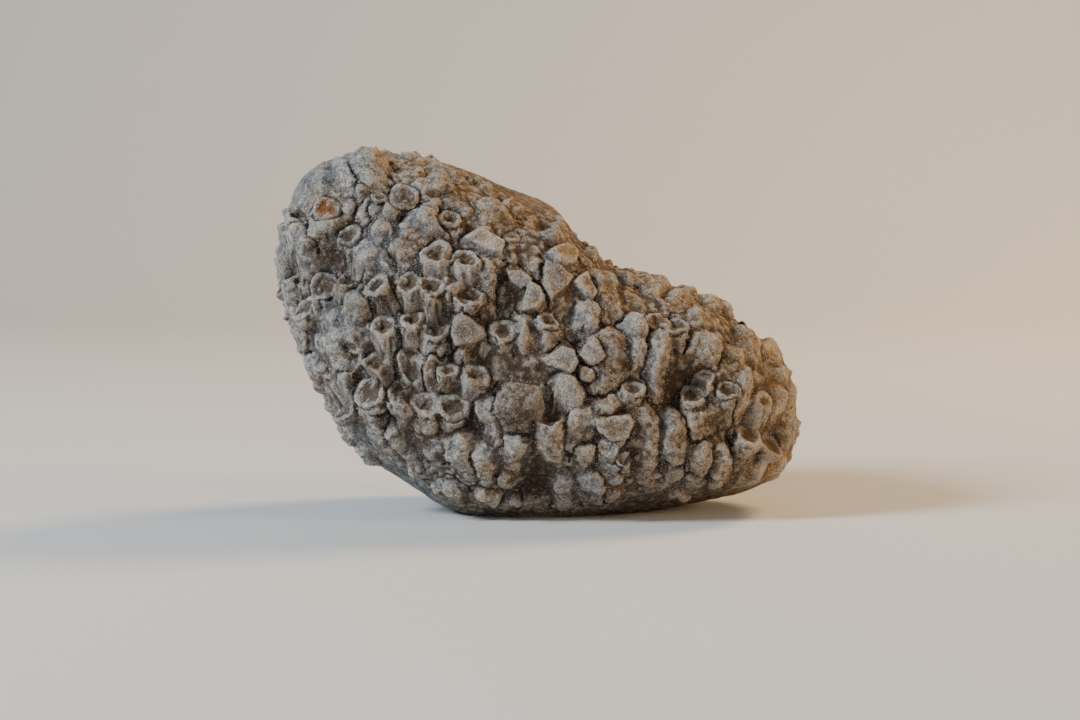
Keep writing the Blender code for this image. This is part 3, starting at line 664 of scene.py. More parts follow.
def scatter_tree(name, swing):
    """A node tree that stands shapes on a surface, each turned by up to swing, growing away from a root."""
    tree = bpy.data.node_groups.new(name, "GeometryNodeTree")
    for label, kind in SCATTER_INPUTS.items():
        tree.interface.new_socket(label, in_out="INPUT", socket_type="NodeSocket" + kind)
    tree.interface.new_socket("Coral", in_out="OUTPUT", socket_type="NodeSocketGeometry")
    node = tree.nodes.new
    given, result = node("NodeGroupInput"), node("NodeGroupOutput")
    spread = node("GeometryNodeDistributePointsOnFaces")
    spread.distribute_method = "POISSON"
    spread.inputs["Density Max"].default_value = 1.0
    shapes = node("GeometryNodeCollectionInfo")
    shapes.inputs["Separate Children"].default_value = True
    shapes.inputs["Reset Children"].default_value = True
    place, away = node("GeometryNodeInputPosition"), node("ShaderNodeVectorMath")
    away.operation = "SUBTRACT"
    aimed = node("FunctionNodeAlignRotationToVector")
    aimed.axis, aimed.pivot_axis = "Y", "Z"
    twist, turned = node("FunctionNodeRandomValue"), node("FunctionNodeRotateRotation")
    twist.data_type = "FLOAT_VECTOR"
    turned.rotation_space = "LOCAL"
    twist.inputs[0].default_value = (-0.12, -0.12, -swing)
    twist.inputs[1].default_value = (0.12, 0.12, swing)
    euler = node("FunctionNodeEulerToRotation")
    size = node("FunctionNodeRandomValue")
    size.data_type = "FLOAT"
    worn = node("ShaderNodeMath")
    worn.operation = "MULTIPLY"
    stand = node("GeometryNodeInstanceOnPoints")
    stand.inputs["Pick Instance"].default_value = True
    numbered, index = node("GeometryNodeStoreNamedAttribute"), node("GeometryNodeInputIndex")
    numbered.data_type, numbered.domain = "INT", "INSTANCE"
    numbered.inputs["Name"].default_value = "body"
    real, finish = node("GeometryNodeRealizeInstances"), node("GeometryNodeSetMaterial")
    for source, output, target, into in (
        (given, "Surface", spread, "Mesh"),
        (given, "Spacing", spread, "Distance Min"),
        (given, "Room", spread, "Density Factor"),
        (given, "Seed", spread, "Seed"),
        (given, "Shapes", shapes, "Collection"),
        (place, 0, away, 0),
        (given, "Root", away, 1),
        (spread, "Rotation", aimed, "Rotation"),
        (away, 0, aimed, "Vector"),
        (twist, 0, euler, 0),
        (aimed, 0, turned, 0),
        (euler, 0, turned, 1),
        (given, "Smallest", size, 2),
        (given, "Largest", size, 3),
        (size, 1, worn, 0),
        (given, "Worn", worn, 1),
        (spread, "Points", stand, "Points"),
        (shapes, 0, stand, "Instance"),
        (turned, 0, stand, "Rotation"),
        (worn, 0, stand, "Scale"),
        (stand, 0, numbered, "Geometry"),
        (index, 0, numbered, "Value"),
        (numbered, 0, real, 0),
        (real, 0, finish, "Geometry"),
        (given, "Material", finish, "Material"),
        (finish, 0, result, 0),
    ):
        tree.links.new(source.outputs[output], target.inputs[into])
    return tree


def scattered(tree, room_name, **values):
    """Runs a scatter tree on the plain stone and returns what it makes as a plain mesh."""
    modifier = plain_stone.modifiers.new(tree.name, "NODES")
    modifier.node_group = tree
    for item in tree.interface.items_tree:
        if item.name in values:
            modifier[item.identifier] = values[item.name]
        if item.name in ("Room", "Worn"):
            modifier[item.identifier + "_use_attribute"] = True
            modifier[item.identifier + "_attribute_name"] = room_name if item.name == "Room" else "worn"
    graph = bpy.context.evaluated_depsgraph_get()
    mesh = bpy.data.meshes.new_from_object(plain_stone.evaluated_get(graph))
    plain_stone.modifiers.remove(modifier)
    return mesh


coral_tree = scatter_tree("stand coral on the stone", 0.35)
grit_tree = scatter_tree("strew rubble and grit on the stone", 3.1)
scattered_meshes = [
    scattered(
        tree,
        room_name,
        Shapes=shapes,
        Spacing=spacing,
        Smallest=smallest,
        Largest=largest,
        Root=ROOT,
        Seed=seed,
        Material=dull,
    )
    for tree, room_name, shapes, spacing, smallest, largest, seed in (
        (coral_tree, "room for coral", coral_shapes, 5.6, 0.82, 1.08, 7),
        (grit_tree, "room for rubble", rubble_shapes, 2.5, 0.7, 1.6, 5),
        (grit_tree, "room for grit", grit_shapes, 1.9, 0.3, 1.0, 3),
    )
]

# ---------------------------------------------------------------------------------------------------
# The whole head is one stone, so the lump, the coral, the flakes and the grit are fused into a single
# closed skin, worn a little, scored along the seams between tubes and roughened by weather.
SKIN_VOXEL = 0.38
BACK_FROM = 6.0  # the side that the camera doesn't see starts here along Y, and is kept coarser
FRONT_TRIANGLES = 138000
BACK_TRIANGLES = 58000
CLOSE = 1.7  # tubes nearer to each other than twice this are cemented together up to a thin seam
CEMENT_FILL = 0.62
SEAM_DEPTH = 0.55
MUD_DEPTH = 0.25  # how far below the tubes' level the mud starts
MUD_FILL = 0.52  # how much of what is deeper it fills
MUD_ROUGHNESS = 0.45
WEATHERING = (  # depth, waves a millimetre, where they start
    (0.34, 0.34, (0, 0, 0)),
    (0.28, 0.8, (9, 4, 1)),
    (0.18, 1.5, (3, 8, 5)),
)
CHIPS = 0.42  # chips a millimetre: each has its own slant, as worn limestone breaks
CHIP_DEPTH = 0.30
WORN_END = 41.0  # from here along, the far end is worn smooth, fully so WORN_OVER further on
WORN_OVER = 8.0


def mesh_arrays(mesh, number_from):
    """Points, faces, body numbers and zones of a scattered mesh."""
    body = np.zeros(len(mesh.vertices), np.int32)
    mesh.attributes["body"].data.foreach_get("value", body)
    zone = np.zeros(len(mesh.polygons), np.int32)
    mesh.attributes["zone"].data.foreach_get("value", zone)
    corners = [tuple(p.vertices) for p in mesh.polygons]
    bodies = [number_from + int(body[corner[0]]) for corner in corners]
    return [v.co.copy() for v in mesh.vertices], corners, bodies, list(zone)


for mesh in scattered_meshes:
    more_points, more_faces, more_bodies, more_zones = mesh_arrays(mesh, face_body[-1] + 1)
    lips = {}
    for face, number, zone_number in zip(more_faces, more_bodies, more_zones):
        if zone_number == ZONES["rim"]:
            lips.setdefault(number, set()).update(face)
    for lip in lips.values():
        lip_points = np.array([more_points[i] for i in lip])
        middle = lip_points.mean(axis=0)
        facing = np.linalg.svd(lip_points - middle)[2][2]
        facing *= np.sign(facing @ (middle - np.array(ROOT))) or 1
        reach = np.linalg.norm(lip_points - middle, axis=1).max()
        mouths.append((middle, facing, reach, -1, 1.0))
    start = len(points)
    points.extend(more_points)
    faces.extend(tuple(start + i for i in face) for face in more_faces)
    face_body.extend(more_bodies)
    face_zone.extend(more_zones)
start = len(points)
points.extend(v.co.copy() for v in stone_mesh.vertices)
for polygon in stone_mesh.polygons:
    faces.append(tuple(start + i for i in polygon.vertices))
    face_body.append(0)
    face_zone.append(ZONES["mud"])
colony_tree = BVHTree.FromPolygons(points, faces)
of_coral = [i for i, zone_number in enumerate(face_zone) if 0 < zone_number < ZONES["grit"]]
coral_only = BVHTree.FromPolygons(points, [faces[i] for i in of_coral])
colony_mesh = bpy.data.meshes.new("coral head")
colony_mesh.from_pydata([tuple(p) for p in points], [], faces)
head = bpy.data.objects.new("coral head skin", colony_mesh)
bpy.context.scene.collection.objects.link(head)
bpy.data.objects.remove(plain_stone)


MOUTH_PROFILE = (  # how far from the middle, then how high over the mouth's plane, in radii
    (0, 0.13, 0.26, 0.42, 0.56, 0.67, 0.79, 0.92, 1.0, 1.3),
    (-0.40, -0.35, -0.22, -0.15, -0.10, -0.01, 0.05, 0.01, -0.1, -0.3),
)
PIT_EDGE = 0.67


def opened(co, out, mouth):
    """How one cup's mouth moves the skin's points, into a thick rim round a pit, and which are its own."""
    middle, facing, radius, whole, depth = mouth
    near = np.flatnonzero(np.linalg.norm(co - middle, axis=1) < radius * 1.9)
    off = co[near] - middle
    height = off @ facing / radius
    flat = off - np.outer(off @ facing, facing)
    upward = np.array((0.0, 0.0, 1.0)) - facing * facing[2]
    upward /= np.linalg.norm(upward) + 1e-9
    back = flat @ upward / radius
    around = np.arctan2(back, flat @ np.cross(upward, facing) / radius)
    start = middle[0] * 1.7 + middle[2]
    wobble = 1 + 0.07 * np.cos(2 * around + start) + 0.05 * np.cos(3 * around + 2 * start)
    r = np.linalg.norm(flat, axis=1) / radius / wobble
    chipped = 0.07 * np.cos(2 * around + 3 * start) + 0.05 * np.cos(5 * around + start)
    dish = 0.70 + 0.12 * math.sin(3 * start)
    spread = np.interp(r, (0, dish, 0.92, 2.0), (0, PIT_EDGE, 0.92, 2.0))
    wanted = np.interp(spread, *MOUTH_PROFILE) * np.where(spread < PIT_EDGE, depth, 1.0)
    wanted = wanted + np.where(r > 0.6, chipped, 0)
    pull = np.interp(r, (0, 0.98, 1.32), (1, 1, 0)) * np.interp(height, (1.5, 1.9), (1, 0))
    pull = pull * np.maximum(np.interp(height, (-1.1, -0.6), (0, 1)), r < 0.75)
    faces_out = out[near] @ facing
    raised = np.interp(faces_out, (0.1, 0.5), (0, 1)) * np.interp(r, (0.93, 1.02), (1, 0))
    raised = raised * np.interp(back, (-0.2, 0.5), (1, whole)) * (whole >= 0)
    pull = pull * np.where(wanted > height, raised, 1.0)
    move = np.zeros_like(co)
    move[near] = np.outer((wanted - height) * radius * pull, facing)
    pit, rim, edge = np.zeros(len(co)), np.zeros(len(co)), np.zeros(len(co))
    pit[near] = (spread < 0.6) & (pull > 0.5)
    rim[near] = (spread >= 0.6) & (r < 1.02) & (pull > 0.5)
    edge[near] = (r > 1.0) & (r < 1.15) & (abs(height) < 0.6)
    return move, pit, rim, edge


def applied(modifier_type, **settings):
    """Gives the head one modifier and keeps its result as the head's own mesh."""
    modifier = head.modifiers.new(modifier_type.lower(), modifier_type)
    for key, value in settings.items():
        setattr(modifier, key, value)
    graph = bpy.context.evaluated_depsgraph_get()
    mesh = bpy.data.meshes.new_from_object(head.evaluated_get(graph))
    head.modifiers.clear()
    head.data = mesh


def averaged(values, edges, passes, share=1.0):
    """Values at the mesh's points, each moved towards the mean of its neighbours."""
    values = np.asarray(values, float)
    columns = values.reshape(len(values), -1)
    a, b = edges[:, 0], edges[:, 1]
    count = np.maximum(np.bincount(edges.ravel(), minlength=len(values)), 1)
    for _ in range(passes):
        total = np.empty_like(columns)
        for c, column in enumerate(columns.T):
            total[:, c] = np.bincount(a, column[b], len(values)) + np.bincount(b, column[a], len(values))
        columns = columns * (1 - share) + share * total / count[:, None]
    return columns.reshape(values.shape)


def skin_arrays(mesh):
    """Points, outward directions and edges of the skin."""
    co = np.empty(len(mesh.vertices) * 3, np.float32)
    out = np.empty(len(mesh.vertices) * 3, np.float32)
    edges = np.empty(len(mesh.edges) * 2, np.int32)
    mesh.vertices.foreach_get("co", co)
    mesh.vertex_normals.foreach_get("vector", out)
    mesh.edges.foreach_get("vertices", edges)
    return co.reshape(-1, 3).astype(float), out.reshape(-1, 3).astype(float), edges.reshape(-1, 2)


applied("REMESH", mode="VOXEL", voxel_size=SKIN_VOXEL)
loose = bmesh.new()
loose.from_mesh(head.data)
unseen, shells = set(loose.verts), []
while unseen:
    shell, queue = set(), [next(iter(unseen))]
    while queue:
        vert = queue.pop()
        if vert not in shell:
            shell.add(vert)
            queue.extend(edge.other_vert(vert) for edge in vert.link_edges)
    unseen -= shell
    shells.append(shell)
shells.sort(key=len)
for shell in shells[:-1]:
    bmesh.ops.delete(loose, geom=list(shell), context="VERTS")
loose.to_mesh(head.data)
loose.free()

co, out, edges = skin_arrays(head.data)
zone, owner = np.zeros(len(co), int), np.zeros(len(co), int)
apart = np.full(len(co), 9.0)  # how far the nearest tube or flake is
for i, point in enumerate(co):
    zone[i] = face_zone[colony_tree.find_nearest(point)[2]]
    _, _, index, away = coral_only.find_nearest(point, 3.0)
    if index is not None:
        owner[i], apart[i] = face_body[of_coral[index]], away
on_flake = zone == ZONES["flake"]
co = np.where(on_flake[:, None], co, averaged(co, edges, 2, 0.5))
pit, rim, lip_edge = np.zeros(len(co)), np.zeros(len(co)), np.zeros(len(co))
for mouth in mouths:
    move, in_pit, in_rim, at_edge = opened(co, out, [np.array(part) for part in mouth])
    co += move
    pit = np.maximum(pit, in_pit)
    rim = np.maximum(rim, in_rim)
    lip_edge = np.maximum(lip_edge, at_edge)
kept = 1 - np.maximum(pit, rim)
cemented = np.interp(apart, (0.6 * CLOSE, CLOSE), (1, 0)) * kept
level = np.einsum("ij,ij->i", co - averaged(co, edges, 12, 0.9), out)
co += out * (np.clip(-level - 0.08, 0, None) * CEMENT_FILL * cemented)[:, None]
seam = np.zeros(len(co))
crossing = edges[(owner[edges[:, 0]] != owner[edges[:, 1]]) & (apart[edges].max(axis=1) < CLOSE)]
seam[crossing.ravel()] = 1.0
for i in np.flatnonzero(seam):
    seam[i] = max(0.0, min(1.0, 0.5 + 1.6 * noise.noise(Vector(co[i]) * 0.16 + Vector((4, 7, 2)))))
# The ring just outside each cup's lip joins the seams: the finish paints both near black, as painted shadow
# in the cracks.
seam = np.maximum(seam * kept, 0.7 * lip_edge * kept)
seam_soft = averaged(seam, edges, 1, 0.4)
co = np.where(on_flake[:, None], co, averaged(co, edges, 1, 0.5))
level = np.einsum("ij,ij->i", co - averaged(co, edges, 45, 0.9), out)
filled = np.clip(-level - MUD_DEPTH, 0, None) * MUD_FILL * kept
rough = np.empty(len(co))
for i, point in enumerate(co):
    p = Vector(point)
    cell = noise.voronoi(p * CHIPS)[1][0]
    slope = (p * CHIPS - cell).dot(noise.cell_vector(cell * 9.1) * 2 - Vector((1, 1, 1)))
    rough[i] = sum(depth * noise.noise(p * waves + Vector(start)) for depth, waves, start in WEATHERING)
    rough[i] += CHIP_DEPTH * slope
rough[on_flake] *= 0.5
rough *= np.interp(apart, (0.8, 2.0), (1.0, MUD_ROUGHNESS))
co += out * (filled + rough - SEAM_DEPTH * seam_soft)[:, None]
far_end = np.clip((co[:, 0] - WORN_END) / WORN_OVER, 0, 1)[:, None]
co += (averaged(co, edges, 14, 0.8) - co) * 0.8 * far_end
head.data.vertices.foreach_set("co", co.astype(np.float32).ravel())
keep_on_points(
    head.data,
    wall=np.maximum(np.interp(apart, (0.4, 1.5), (1, 0)), rim) * (pit == 0),
    pit=pit,
    rim=rim,
    seam=seam,
    tint=np.modf(owner * 0.61803)[0],
)
applied("TRIANGULATE")
for at_back, wanted in ((True, BACK_TRIANGLES), (False, FRONT_TRIANGLES)):
    side = [(vert.co.y > BACK_FROM) == at_back for vert in head.data.vertices]
    thinned = head.vertex_groups.new(name="thinned")
    thinned.add([i for i, here in enumerate(side) if here], 1.0, "REPLACE")
    there = sum(all(side[i] for i in face.vertices) for face in head.data.polygons)
    applied("DECIMATE", ratio=1 - max(0, there - wanted) / len(head.data.polygons), vertex_group="thinned")
    head.vertex_groups.clear()

flat = bmesh.new()
flat.from_mesh(head.data)
bmesh.ops.bisect_plane(
    flat,
    geom=flat.verts[:] + flat.edges[:] + flat.faces[:],
    dist=1e-5,
    plane_co=(0, 0, FOOT),
    plane_no=(0, 0, -1),
    clear_outer=True,
)
rim_edges = [edge for edge in flat.edges if edge.is_boundary]
bmesh.ops.triangle_fill(flat, edges=rim_edges, use_beauty=True, use_dissolve=False, normal=(0, 0, -1))
bmesh.ops.recalc_face_normals(flat, faces=flat.faces)
flat.to_mesh(head.data)
flat.free()
print("skin", len(head.data.polygons), "faces")

# The colours that follow the form are kept on its points: how deep each lies, by which the hollows are
# darkened as painted shade, what it is, and where iron has stained the stone or blue-grey mud and fresh
# rock show. The ochre on the upward faces is partly painted warm light, and the paler faces turned to the
# left window are painted light.
co, out, edges = skin_arrays(head.data)
near = averaged(co, edges, 6, 0.8)
wide = averaged(co, edges, 45, 0.9)
relief = np.einsum("ij,ij->i", co - near, out)
height = np.einsum("ij,ij->i", co - wide, out)
# Hollow is how far a point lies below its wide surroundings; the finish darkens the hollows with it as
# painted shade, with some dirt.
hollow = np.clip(0.5 - 0.5 * height / 1.3, 0, 1)
tint = np.zeros(len(co), np.float32)
in_pit = np.zeros(len(co), np.float32)
head.data.attributes["tint"].data.foreach_get("value", tint)
head.data.attributes["pit"].data.foreach_get("value", in_pit)
hollow *= 1 - 0.5 * in_pit
RUST = (  # across, up, radius, strength
    (-57.2, 75.4, 4.7, 1.7),
    (-44.6, 87.0, 4.2, 0.9),
    (-58.0, 68.0, 4.0, 0.6),
    (-32.6, 86.0, 5.0, 0.8),
    (-22.0, 81.0, 6.0, 0.8),
    (-24.0, 75.0, 4.0, 0.6),
    (-17.0, 74.0, 4.0, 0.6),
    (-8.0, 75.0, 8.0, 0.8),
    (4.0, 66.0, 6.0, 0.6),
    (20.0, 58.5, 7.0, 0.5),
    (36.8, 47.2, 3.4, 0.8),
    (42.2, 42.0, 5.0, 0.8),
    (52.0, 30.0, 8.0, 0.7),
    (53.0, 12.0, 7.0, 0.7),
    (50.0, 20.0, 6.0, 0.5),
    (-22.4, 19.0, 2.8, 0.9),
    (-17.0, 8.0, 4.0, 0.5),
    (-13.0, 37.0, 3.4, 0.8),
    (-20.0, 37.5, 2.6, 0.7),
    (-7.0, 2.4, 3.4, 0.7),
    (22.7, 9.7, 2.0, 0.7),
    (36.5, 14.0, 2.2, 0.6),
    (-34.5, 50.0, 2.4, 0.5),
    (-10.5, 53.0, 2.4, 0.6),
)
# The side the left window lights: points turned to it are painted paler, as painted light.
LIT_SIDE = (-0.66, -0.28, 0.70)
SHADES = (  # across, up, radius, how much paler the stone is there, or below zero darker and browner
    (-33.0, 80.0, 4.4, 0.8),
    (-18.0, 66.5, 5.0, 0.8),
    (4.8, 56.0, 3.6, 0.6),
    (-2.0, 58.0, 4.0, 0.4),
    (9.0, 40.0, 3.6, 0.3),
    (-30.0, 57.0, 5.0, 0.3),
    (-24.0, 15.0, 5.0, 0.4),
    (22.0, 16.0, 5.0, 0.4),
    (33.0, 12.0, 4.0, 0.3),
    (-55.5, 66.0, 5.0, -1.2),
    (-45.0, 65.0, 3.0, -0.5),
    (-22.5, 45.6, 4.8, -1.1),
    (-10.0, 25.0, 6.2, -1.0),
    (-13.0, 37.5, 5.0, -0.8),
    (-53.5, 60.0, 5.5, -0.9),
    (-8.0, 8.0, 6.0, -0.9),
    (28.0, 32.0, 6.5, -0.9),
    (-15.0, 55.0, 4.5, -0.7),
    (-34.0, 34.0, 4.5, -0.5),
    (38.0, 21.0, 5.0, -0.6),
    (40.0, 10.0, 5.0, -0.5),
    (46.0, 33.0, 4.0, -0.5),
)
FRESH = (  # across, up, radius, strength
    (-62.0, 82.0, 8.0, 1.0),
    (-60.0, 45.0, 12.0, 0.5),
    (-50.0, 16.0, 12.0, 0.9),
    (-34.0, 6.0, 9.0, 0.9),
    (-43.0, 80.0, 7.0, 0.5),
    (-46.0, 72.0, 8.0, 0.6),
    (-55.0, 50.0, 5.0, 0.8),
    (-68.0, 66.0, 9.0, 0.6),
)
# The places above are where each spot shows from the front, so they are followed along that line, and
# only on the front.
towards_eye = EYE.y / (EYE.y - co[:, 1])
seen_x = EYE.x + (co[:, 0] - EYE.x) * towards_eye
seen_z = EYE.z + (co[:, 2] - EYE.z) * towards_eye
in_front = co[:, 1] < BACK_FROM


def spot(across, up, radius, sharpness=2):
    """How strongly a round spot that shows at a place colours each point, from 0 to 1."""
    return np.exp(-((np.hypot(seen_x - across, seen_z - up) / radius) ** sharpness))


stain = np.zeros(len(co))
blue = np.zeros(len(co))
for across, up, radius, strength in RUST:
    stain = np.maximum(stain, strength * spot(across, up, radius) * in_front)
# Upward faces right of the left end are made ochre: partly iron stain, partly painted warm light from above
# and behind.
top_ochre_and_warm_light = np.clip((out[:, 2] - 0.35) * 1.6, 0, 1) * np.clip((co[:, 0] + 38) / 20, 0, 1)
stain = np.maximum(stain, 0.92 * top_ochre_and_warm_light)
stain = np.maximum(stain, 0.85 * np.clip((co[:, 0] - 24) / 22, 0, 1))
for across, up, radius, strength in FRESH:
    blue = np.maximum(blue, strength * spot(across, up, radius))
facing_light = averaged(out, edges, 2, 0.7) @ np.array(LIT_SIDE)
patchy = np.empty(len(co))
for i, point in enumerate(co):
    p = Vector(point)
    patchy[i] = noise.noise(p * 0.30) + 0.7 * noise.noise(p * 0.75 + Vector((2, 5, 8)))
warm_end = 0.75 * np.clip((co[:, 0] - 8) / 30, 0, 1) + 0.85 * top_ochre_and_warm_light
cool_end = 0.22 * np.clip((-28 - co[:, 0]) / 20, 0, 1)
shade = 0.9 * (np.modf(tint * 7.3)[0] - 0.5)
for across, up, radius, shift in SHADES:
    shade += shift * spot(across, up, radius, 4) * in_front
# Paleness mixes random tone with painted light: the faces turned to the left window are painted paler.
bleach = 0.42 + 0.75 * facing_light + 1.2 * patchy + 0.7 * (tint - 0.5) + 0.3 * shade
keep_on_points(
    head.data,
    hollow=hollow,
    # Points that stand proud of their near surroundings: partly edge wear, partly painted highlight on the
    # proud edges.
    edge_wear=np.clip(relief / 0.22, 0, 1),
    # The stain also carries the painted warm light on the upward faces.
    stain=stain,
    blue=blue,
    bleach=np.clip(bleach - warm_end + cool_end, 0, 1),
    shade=np.clip(shade, -1, 1),
)

# The finish is dry limestone: grey-beige grain on the coral, brown mud in the hollows, ochre iron stains,
# and blue-grey rock where it is bare or freshly broken. Painted on it are shade darkening the hollows,
# near-black shadow in the seams, highlights on the proud edges and light on the faces turned to the left
# window.
limestone = bpy.data.materials.new("weathered coral limestone")
limestone.use_nodes = True
shader_nodes, shader_links = limestone.node_tree.nodes, limestone.node_tree.links
shader = shader_nodes["Principled BSDF"]
shader.inputs["Roughness"].default_value = 0.88
shader.inputs["Specular IOR Level"].default_value = 0.28
place = shader_nodes.new("ShaderNodeTexCoord")


def point_value(name):
    """A number kept on the skin's points."""
    made = shader_nodes.new("ShaderNodeAttribute")
    made.attribute_name = name
    return made.outputs["Fac"]


def grain(scale, detail=3.0, roughness=0.6, distortion=0.0):
    """Noise whose pattern is about 1000 / scale millimetres across."""
    made = shader_nodes.new("ShaderNodeTexNoise")
    made.inputs["Scale"].default_value = scale
    made.inputs["Detail"].default_value = detail
    made.inputs["Roughness"].default_value = roughness
    made.inputs["Distortion"].default_value = distortion
    shader_links.new(place.outputs["Object"], made.inputs["Vector"])
    return made.outputs["Fac"]


def ramp(value, low, high, low_to=0.0, high_to=1.0):
    """A value spread from low..high to low_to..high_to."""
    made = shader_nodes.new("ShaderNodeMapRange")
    for socket, given in zip(made.inputs[1:5], (low, high, low_to, high_to)):
        socket.default_value = given
    shader_links.new(value, made.inputs[0])
    return made.outputs[0]


def times(a, b):
    """One value times another, kept between 0 and 1."""
    made = shader_nodes.new("ShaderNodeMath")
    made.operation = "MULTIPLY"
    made.use_clamp = True
    for socket, given in zip(made.inputs, (a, b)):
        if isinstance(given, float):
            socket.default_value = given
        else:
            shader_links.new(given, socket)
    return made.outputs[0]


def mixed(amount, below, above):
    """One colour laid over another."""
    made = shader_nodes.new("ShaderNodeMix")
    made.data_type = "RGBA"
    shader_links.new(amount, made.inputs[0])
    for socket, given in ((made.inputs[6], below), (made.inputs[7], above)):
        if isinstance(given, tuple):
            socket.default_value = (*given, 1)
        else:
            shader_links.new(given, socket)
    return made.outputs[2]


def scaled(colour, amount):
    """A colour made brighter or darker."""
    made = shader_nodes.new("ShaderNodeVectorMath")
    made.operation = "SCALE"
    shader_links.new(colour, made.inputs[0])
    shader_links.new(amount, made.inputs["Scale"])
    return made.outputs[0]


bleached = mixed(ramp(grain(240, 3.0, 0.6, 0.8), 0.35, 0.65), (0.175, 0.169, 0.168), (0.31, 0.306, 0.312))
earthy = mixed(ramp(grain(300, 3.0, 0.6, 0.8), 0.35, 0.65), (0.145, 0.088, 0.046), (0.32, 0.216, 0.125))
# Paler where paleness is high, which includes painted light on the faces turned to the left window.
coral = mixed(point_value("bleach"), earthy, bleached)
mud_brown = mixed(ramp(grain(260), 0.4, 0.6), (0.095, 0.062, 0.038), (0.18, 0.128, 0.085))
mud_blue = mixed(ramp(grain(300), 0.4, 0.6), (0.145, 0.158, 0.17), (0.29, 0.31, 0.325))
mud = mixed(ramp(point_value("blue"), 0.15, 0.7), mud_brown, mud_blue)
skin = mixed(point_value("wall"), mud, coral)
skin = mixed(times(ramp(point_value("blue"), 0.2, 1.0), 0.4), skin, mud_blue)
stained = times(point_value("stain"), ramp(grain(160, 3.0, 0.55, 0.8), 0.38, 0.6))
ochre = mixed(ramp(grain(420), 0.4, 0.6), (0.30, 0.165, 0.06), (0.46, 0.285, 0.10))
skin = mixed(times(stained, 0.8), skin, ochre)
# Painted shade, with some dirt: the hollows are darkened towards dark brown.
skin = mixed(times(ramp(point_value("hollow"), 0.44, 0.84), 0.8), skin, (0.07, 0.043, 0.024))
skin = mixed(times(point_value("pit"), 0.55), skin, (0.125, 0.08, 0.05))
rust = mixed(ramp(grain(420, 3.0, 0.6), 0.38, 0.58), (0.13, 0.052, 0.024), (0.47, 0.155, 0.033))
skin = mixed(times(ramp(point_value("stain"), 0.95, 1.3), 0.85), skin, rust)
# Painted shadow: the seams between tubes and the ring round each cup's lip are painted near black.
skin = mixed(times(point_value("seam"), 0.85), skin, (0.022, 0.014, 0.009))
skin = mixed(times(point_value("rim"), 0.4), skin, (0.52, 0.465, 0.40))
# Partly edge wear and partly painted highlight: the proudest points are painted pale cream.
skin = mixed(times(point_value("edge wear"), 0.6), skin, (0.65, 0.575, 0.475))
skin = scaled(skin, ramp(point_value("shade"), -1, 1, 0.62, 1.3))
skin = scaled(skin, ramp(grain(1500, 2.0, 0.6), 0.38, 0.62, 0.84, 1.16))
skin = scaled(skin, ramp(grain(2700, 1.0, 0.6), 0.38, 0.62, 0.84, 1.14))
pores = ramp(grain(2500, 0.0, 0.5), 0.27, 0.34, 0.6, 0.0)
skin = mixed(pores, skin, (0.05, 0.035, 0.025))
specks = times(ramp(grain(2900, 0.0, 0.5), 0.675, 0.72), ramp(point_value("wall"), 0, 1, 0.1, 0.6))
skin = mixed(specks, skin, (0.74, 0.71, 0.67))
shader_links.new(skin, shader.inputs["Base Color"])

surface = None
for scale, detail, roughness, depth in ((2600, 3.0, 0.7, 0.7 * MM), (700, 4.0, 0.65, 1.3 * MM)):
    pitted = shader_nodes.new("ShaderNodeBump")
    pitted.inputs["Strength"].default_value = 1.0
    pitted.inputs["Distance"].default_value = depth
    shader_links.new(grain(scale, detail, roughness), pitted.inputs["Height"])
    if surface:
        shader_links.new(surface, pitted.inputs["Normal"])
    surface = pitted.outputs[0]
shader_links.new(surface, shader.inputs["Normal"])

head.data.transform(Matrix.Translation((0, 0, -FOOT * MM)) @ Matrix.Scale(MM, 4))
head.data.materials.clear()
head.data.materials.append(limestone)
head.data.shade_smooth()
head.name = "coral_head_skin"
head.data.name = "coral_head_skin"
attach(head, "root")
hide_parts("coral_head")

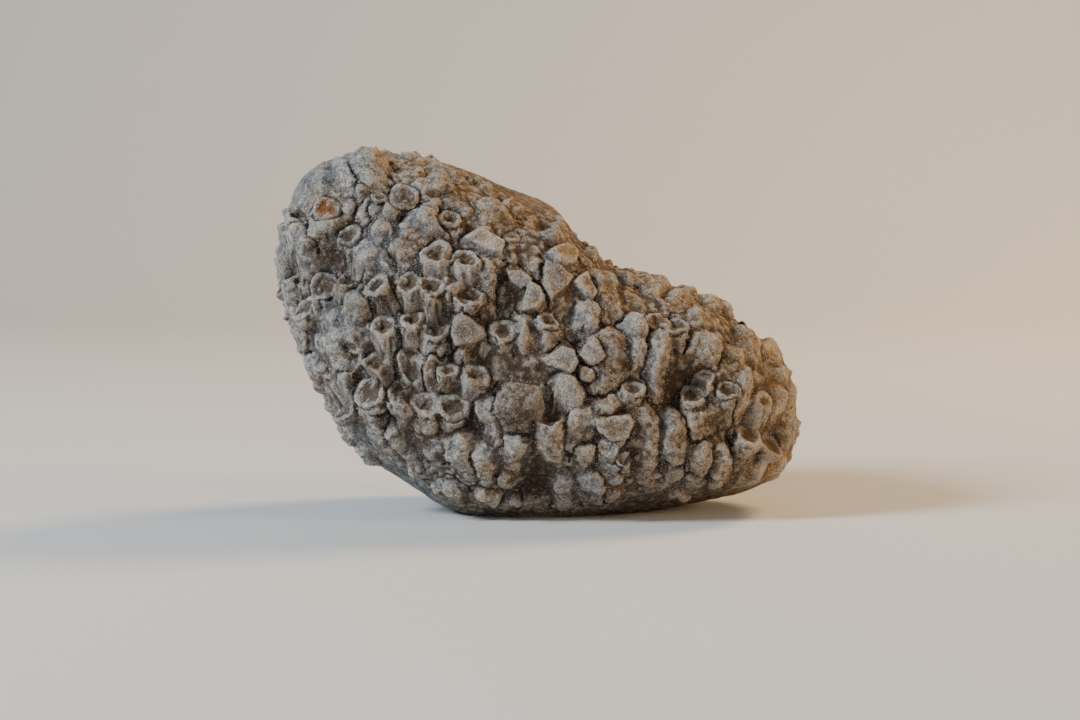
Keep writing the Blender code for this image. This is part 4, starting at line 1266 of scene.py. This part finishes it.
# ---------------------------------------------------------------------------------------------------
# The head stands on a plain pale table that curves up behind it, under soft light: a broad cool
# window to the left and above, and a weaker warm one to the right and behind.
sweep = bmesh.new()
curve = np.linspace(0, math.pi / 2, 12)
profile = [(-1.6, 0.0), *((0.7 + 0.5 * math.sin(a), 0.5 - 0.5 * math.cos(a)) for a in curve), (1.2, 2.4)]
edge_rows = [[sweep.verts.new((x, y, z)) for y, z in profile] for x in (-2.2, 2.2)]
for i in range(len(profile) - 1):
    sweep.faces.new((edge_rows[0][i], edge_rows[1][i], edge_rows[1][i + 1], edge_rows[0][i + 1]))
table_mesh = bpy.data.meshes.new("pale table")
sweep.to_mesh(table_mesh)
sweep.free()
table_mesh.shade_smooth()
table = bpy.data.objects.new("pale table", table_mesh)
bpy.context.scene.collection.objects.link(table)
paper = bpy.data.materials.new("pale paper")
paper.use_nodes = True
paper_inputs = paper.node_tree.nodes["Principled BSDF"].inputs
paper_inputs["Base Color"].default_value = (0.62, 0.62, 0.61, 1)
paper_inputs["Roughness"].default_value = 0.9
table_mesh.materials.append(paper)

for name, where, size, power, colour in (
    ("window left", (-0.96, -0.46, 0.70), 0.36, 21.0, (0.80, 0.90, 1.0)),
    ("left bounce", (-0.8, -0.6, 0.06), 0.5, 2.2, (0.80, 0.90, 1.0)),
    ("window right", (0.7, 0.6, 0.8), 0.4, 15.0, (1.0, 0.68, 0.36)),
    ("lamp right", (1.15, -0.3, 0.32), 0.35, 9.6, (1.0, 0.68, 0.37)),
    ("front fill", (-0.2, -1.4, 0.6), 0.6, 1.4, (1.0, 0.97, 0.93)),
):
    lamp_data = bpy.data.lights.new(name, "AREA")
    lamp_data.shape = "DISK"
    lamp_data.size = size
    lamp_data.energy = power
    lamp_data.color = colour
    lamp = bpy.data.objects.new(name, lamp_data)
    bpy.context.scene.collection.objects.link(lamp)
    lamp.location = where
    lamp.rotation_euler = (Vector((0, 0, 0.045)) - Vector(where)).to_track_quat("-Z", "Y").to_euler()
air = bpy.data.worlds.new("even light")
air.use_nodes = True
air_inputs = air.node_tree.nodes["Background"].inputs
air_inputs["Color"].default_value = (0.76, 0.84, 0.95, 1)
air_inputs["Strength"].default_value = 0.12
bpy.context.scene.world = air
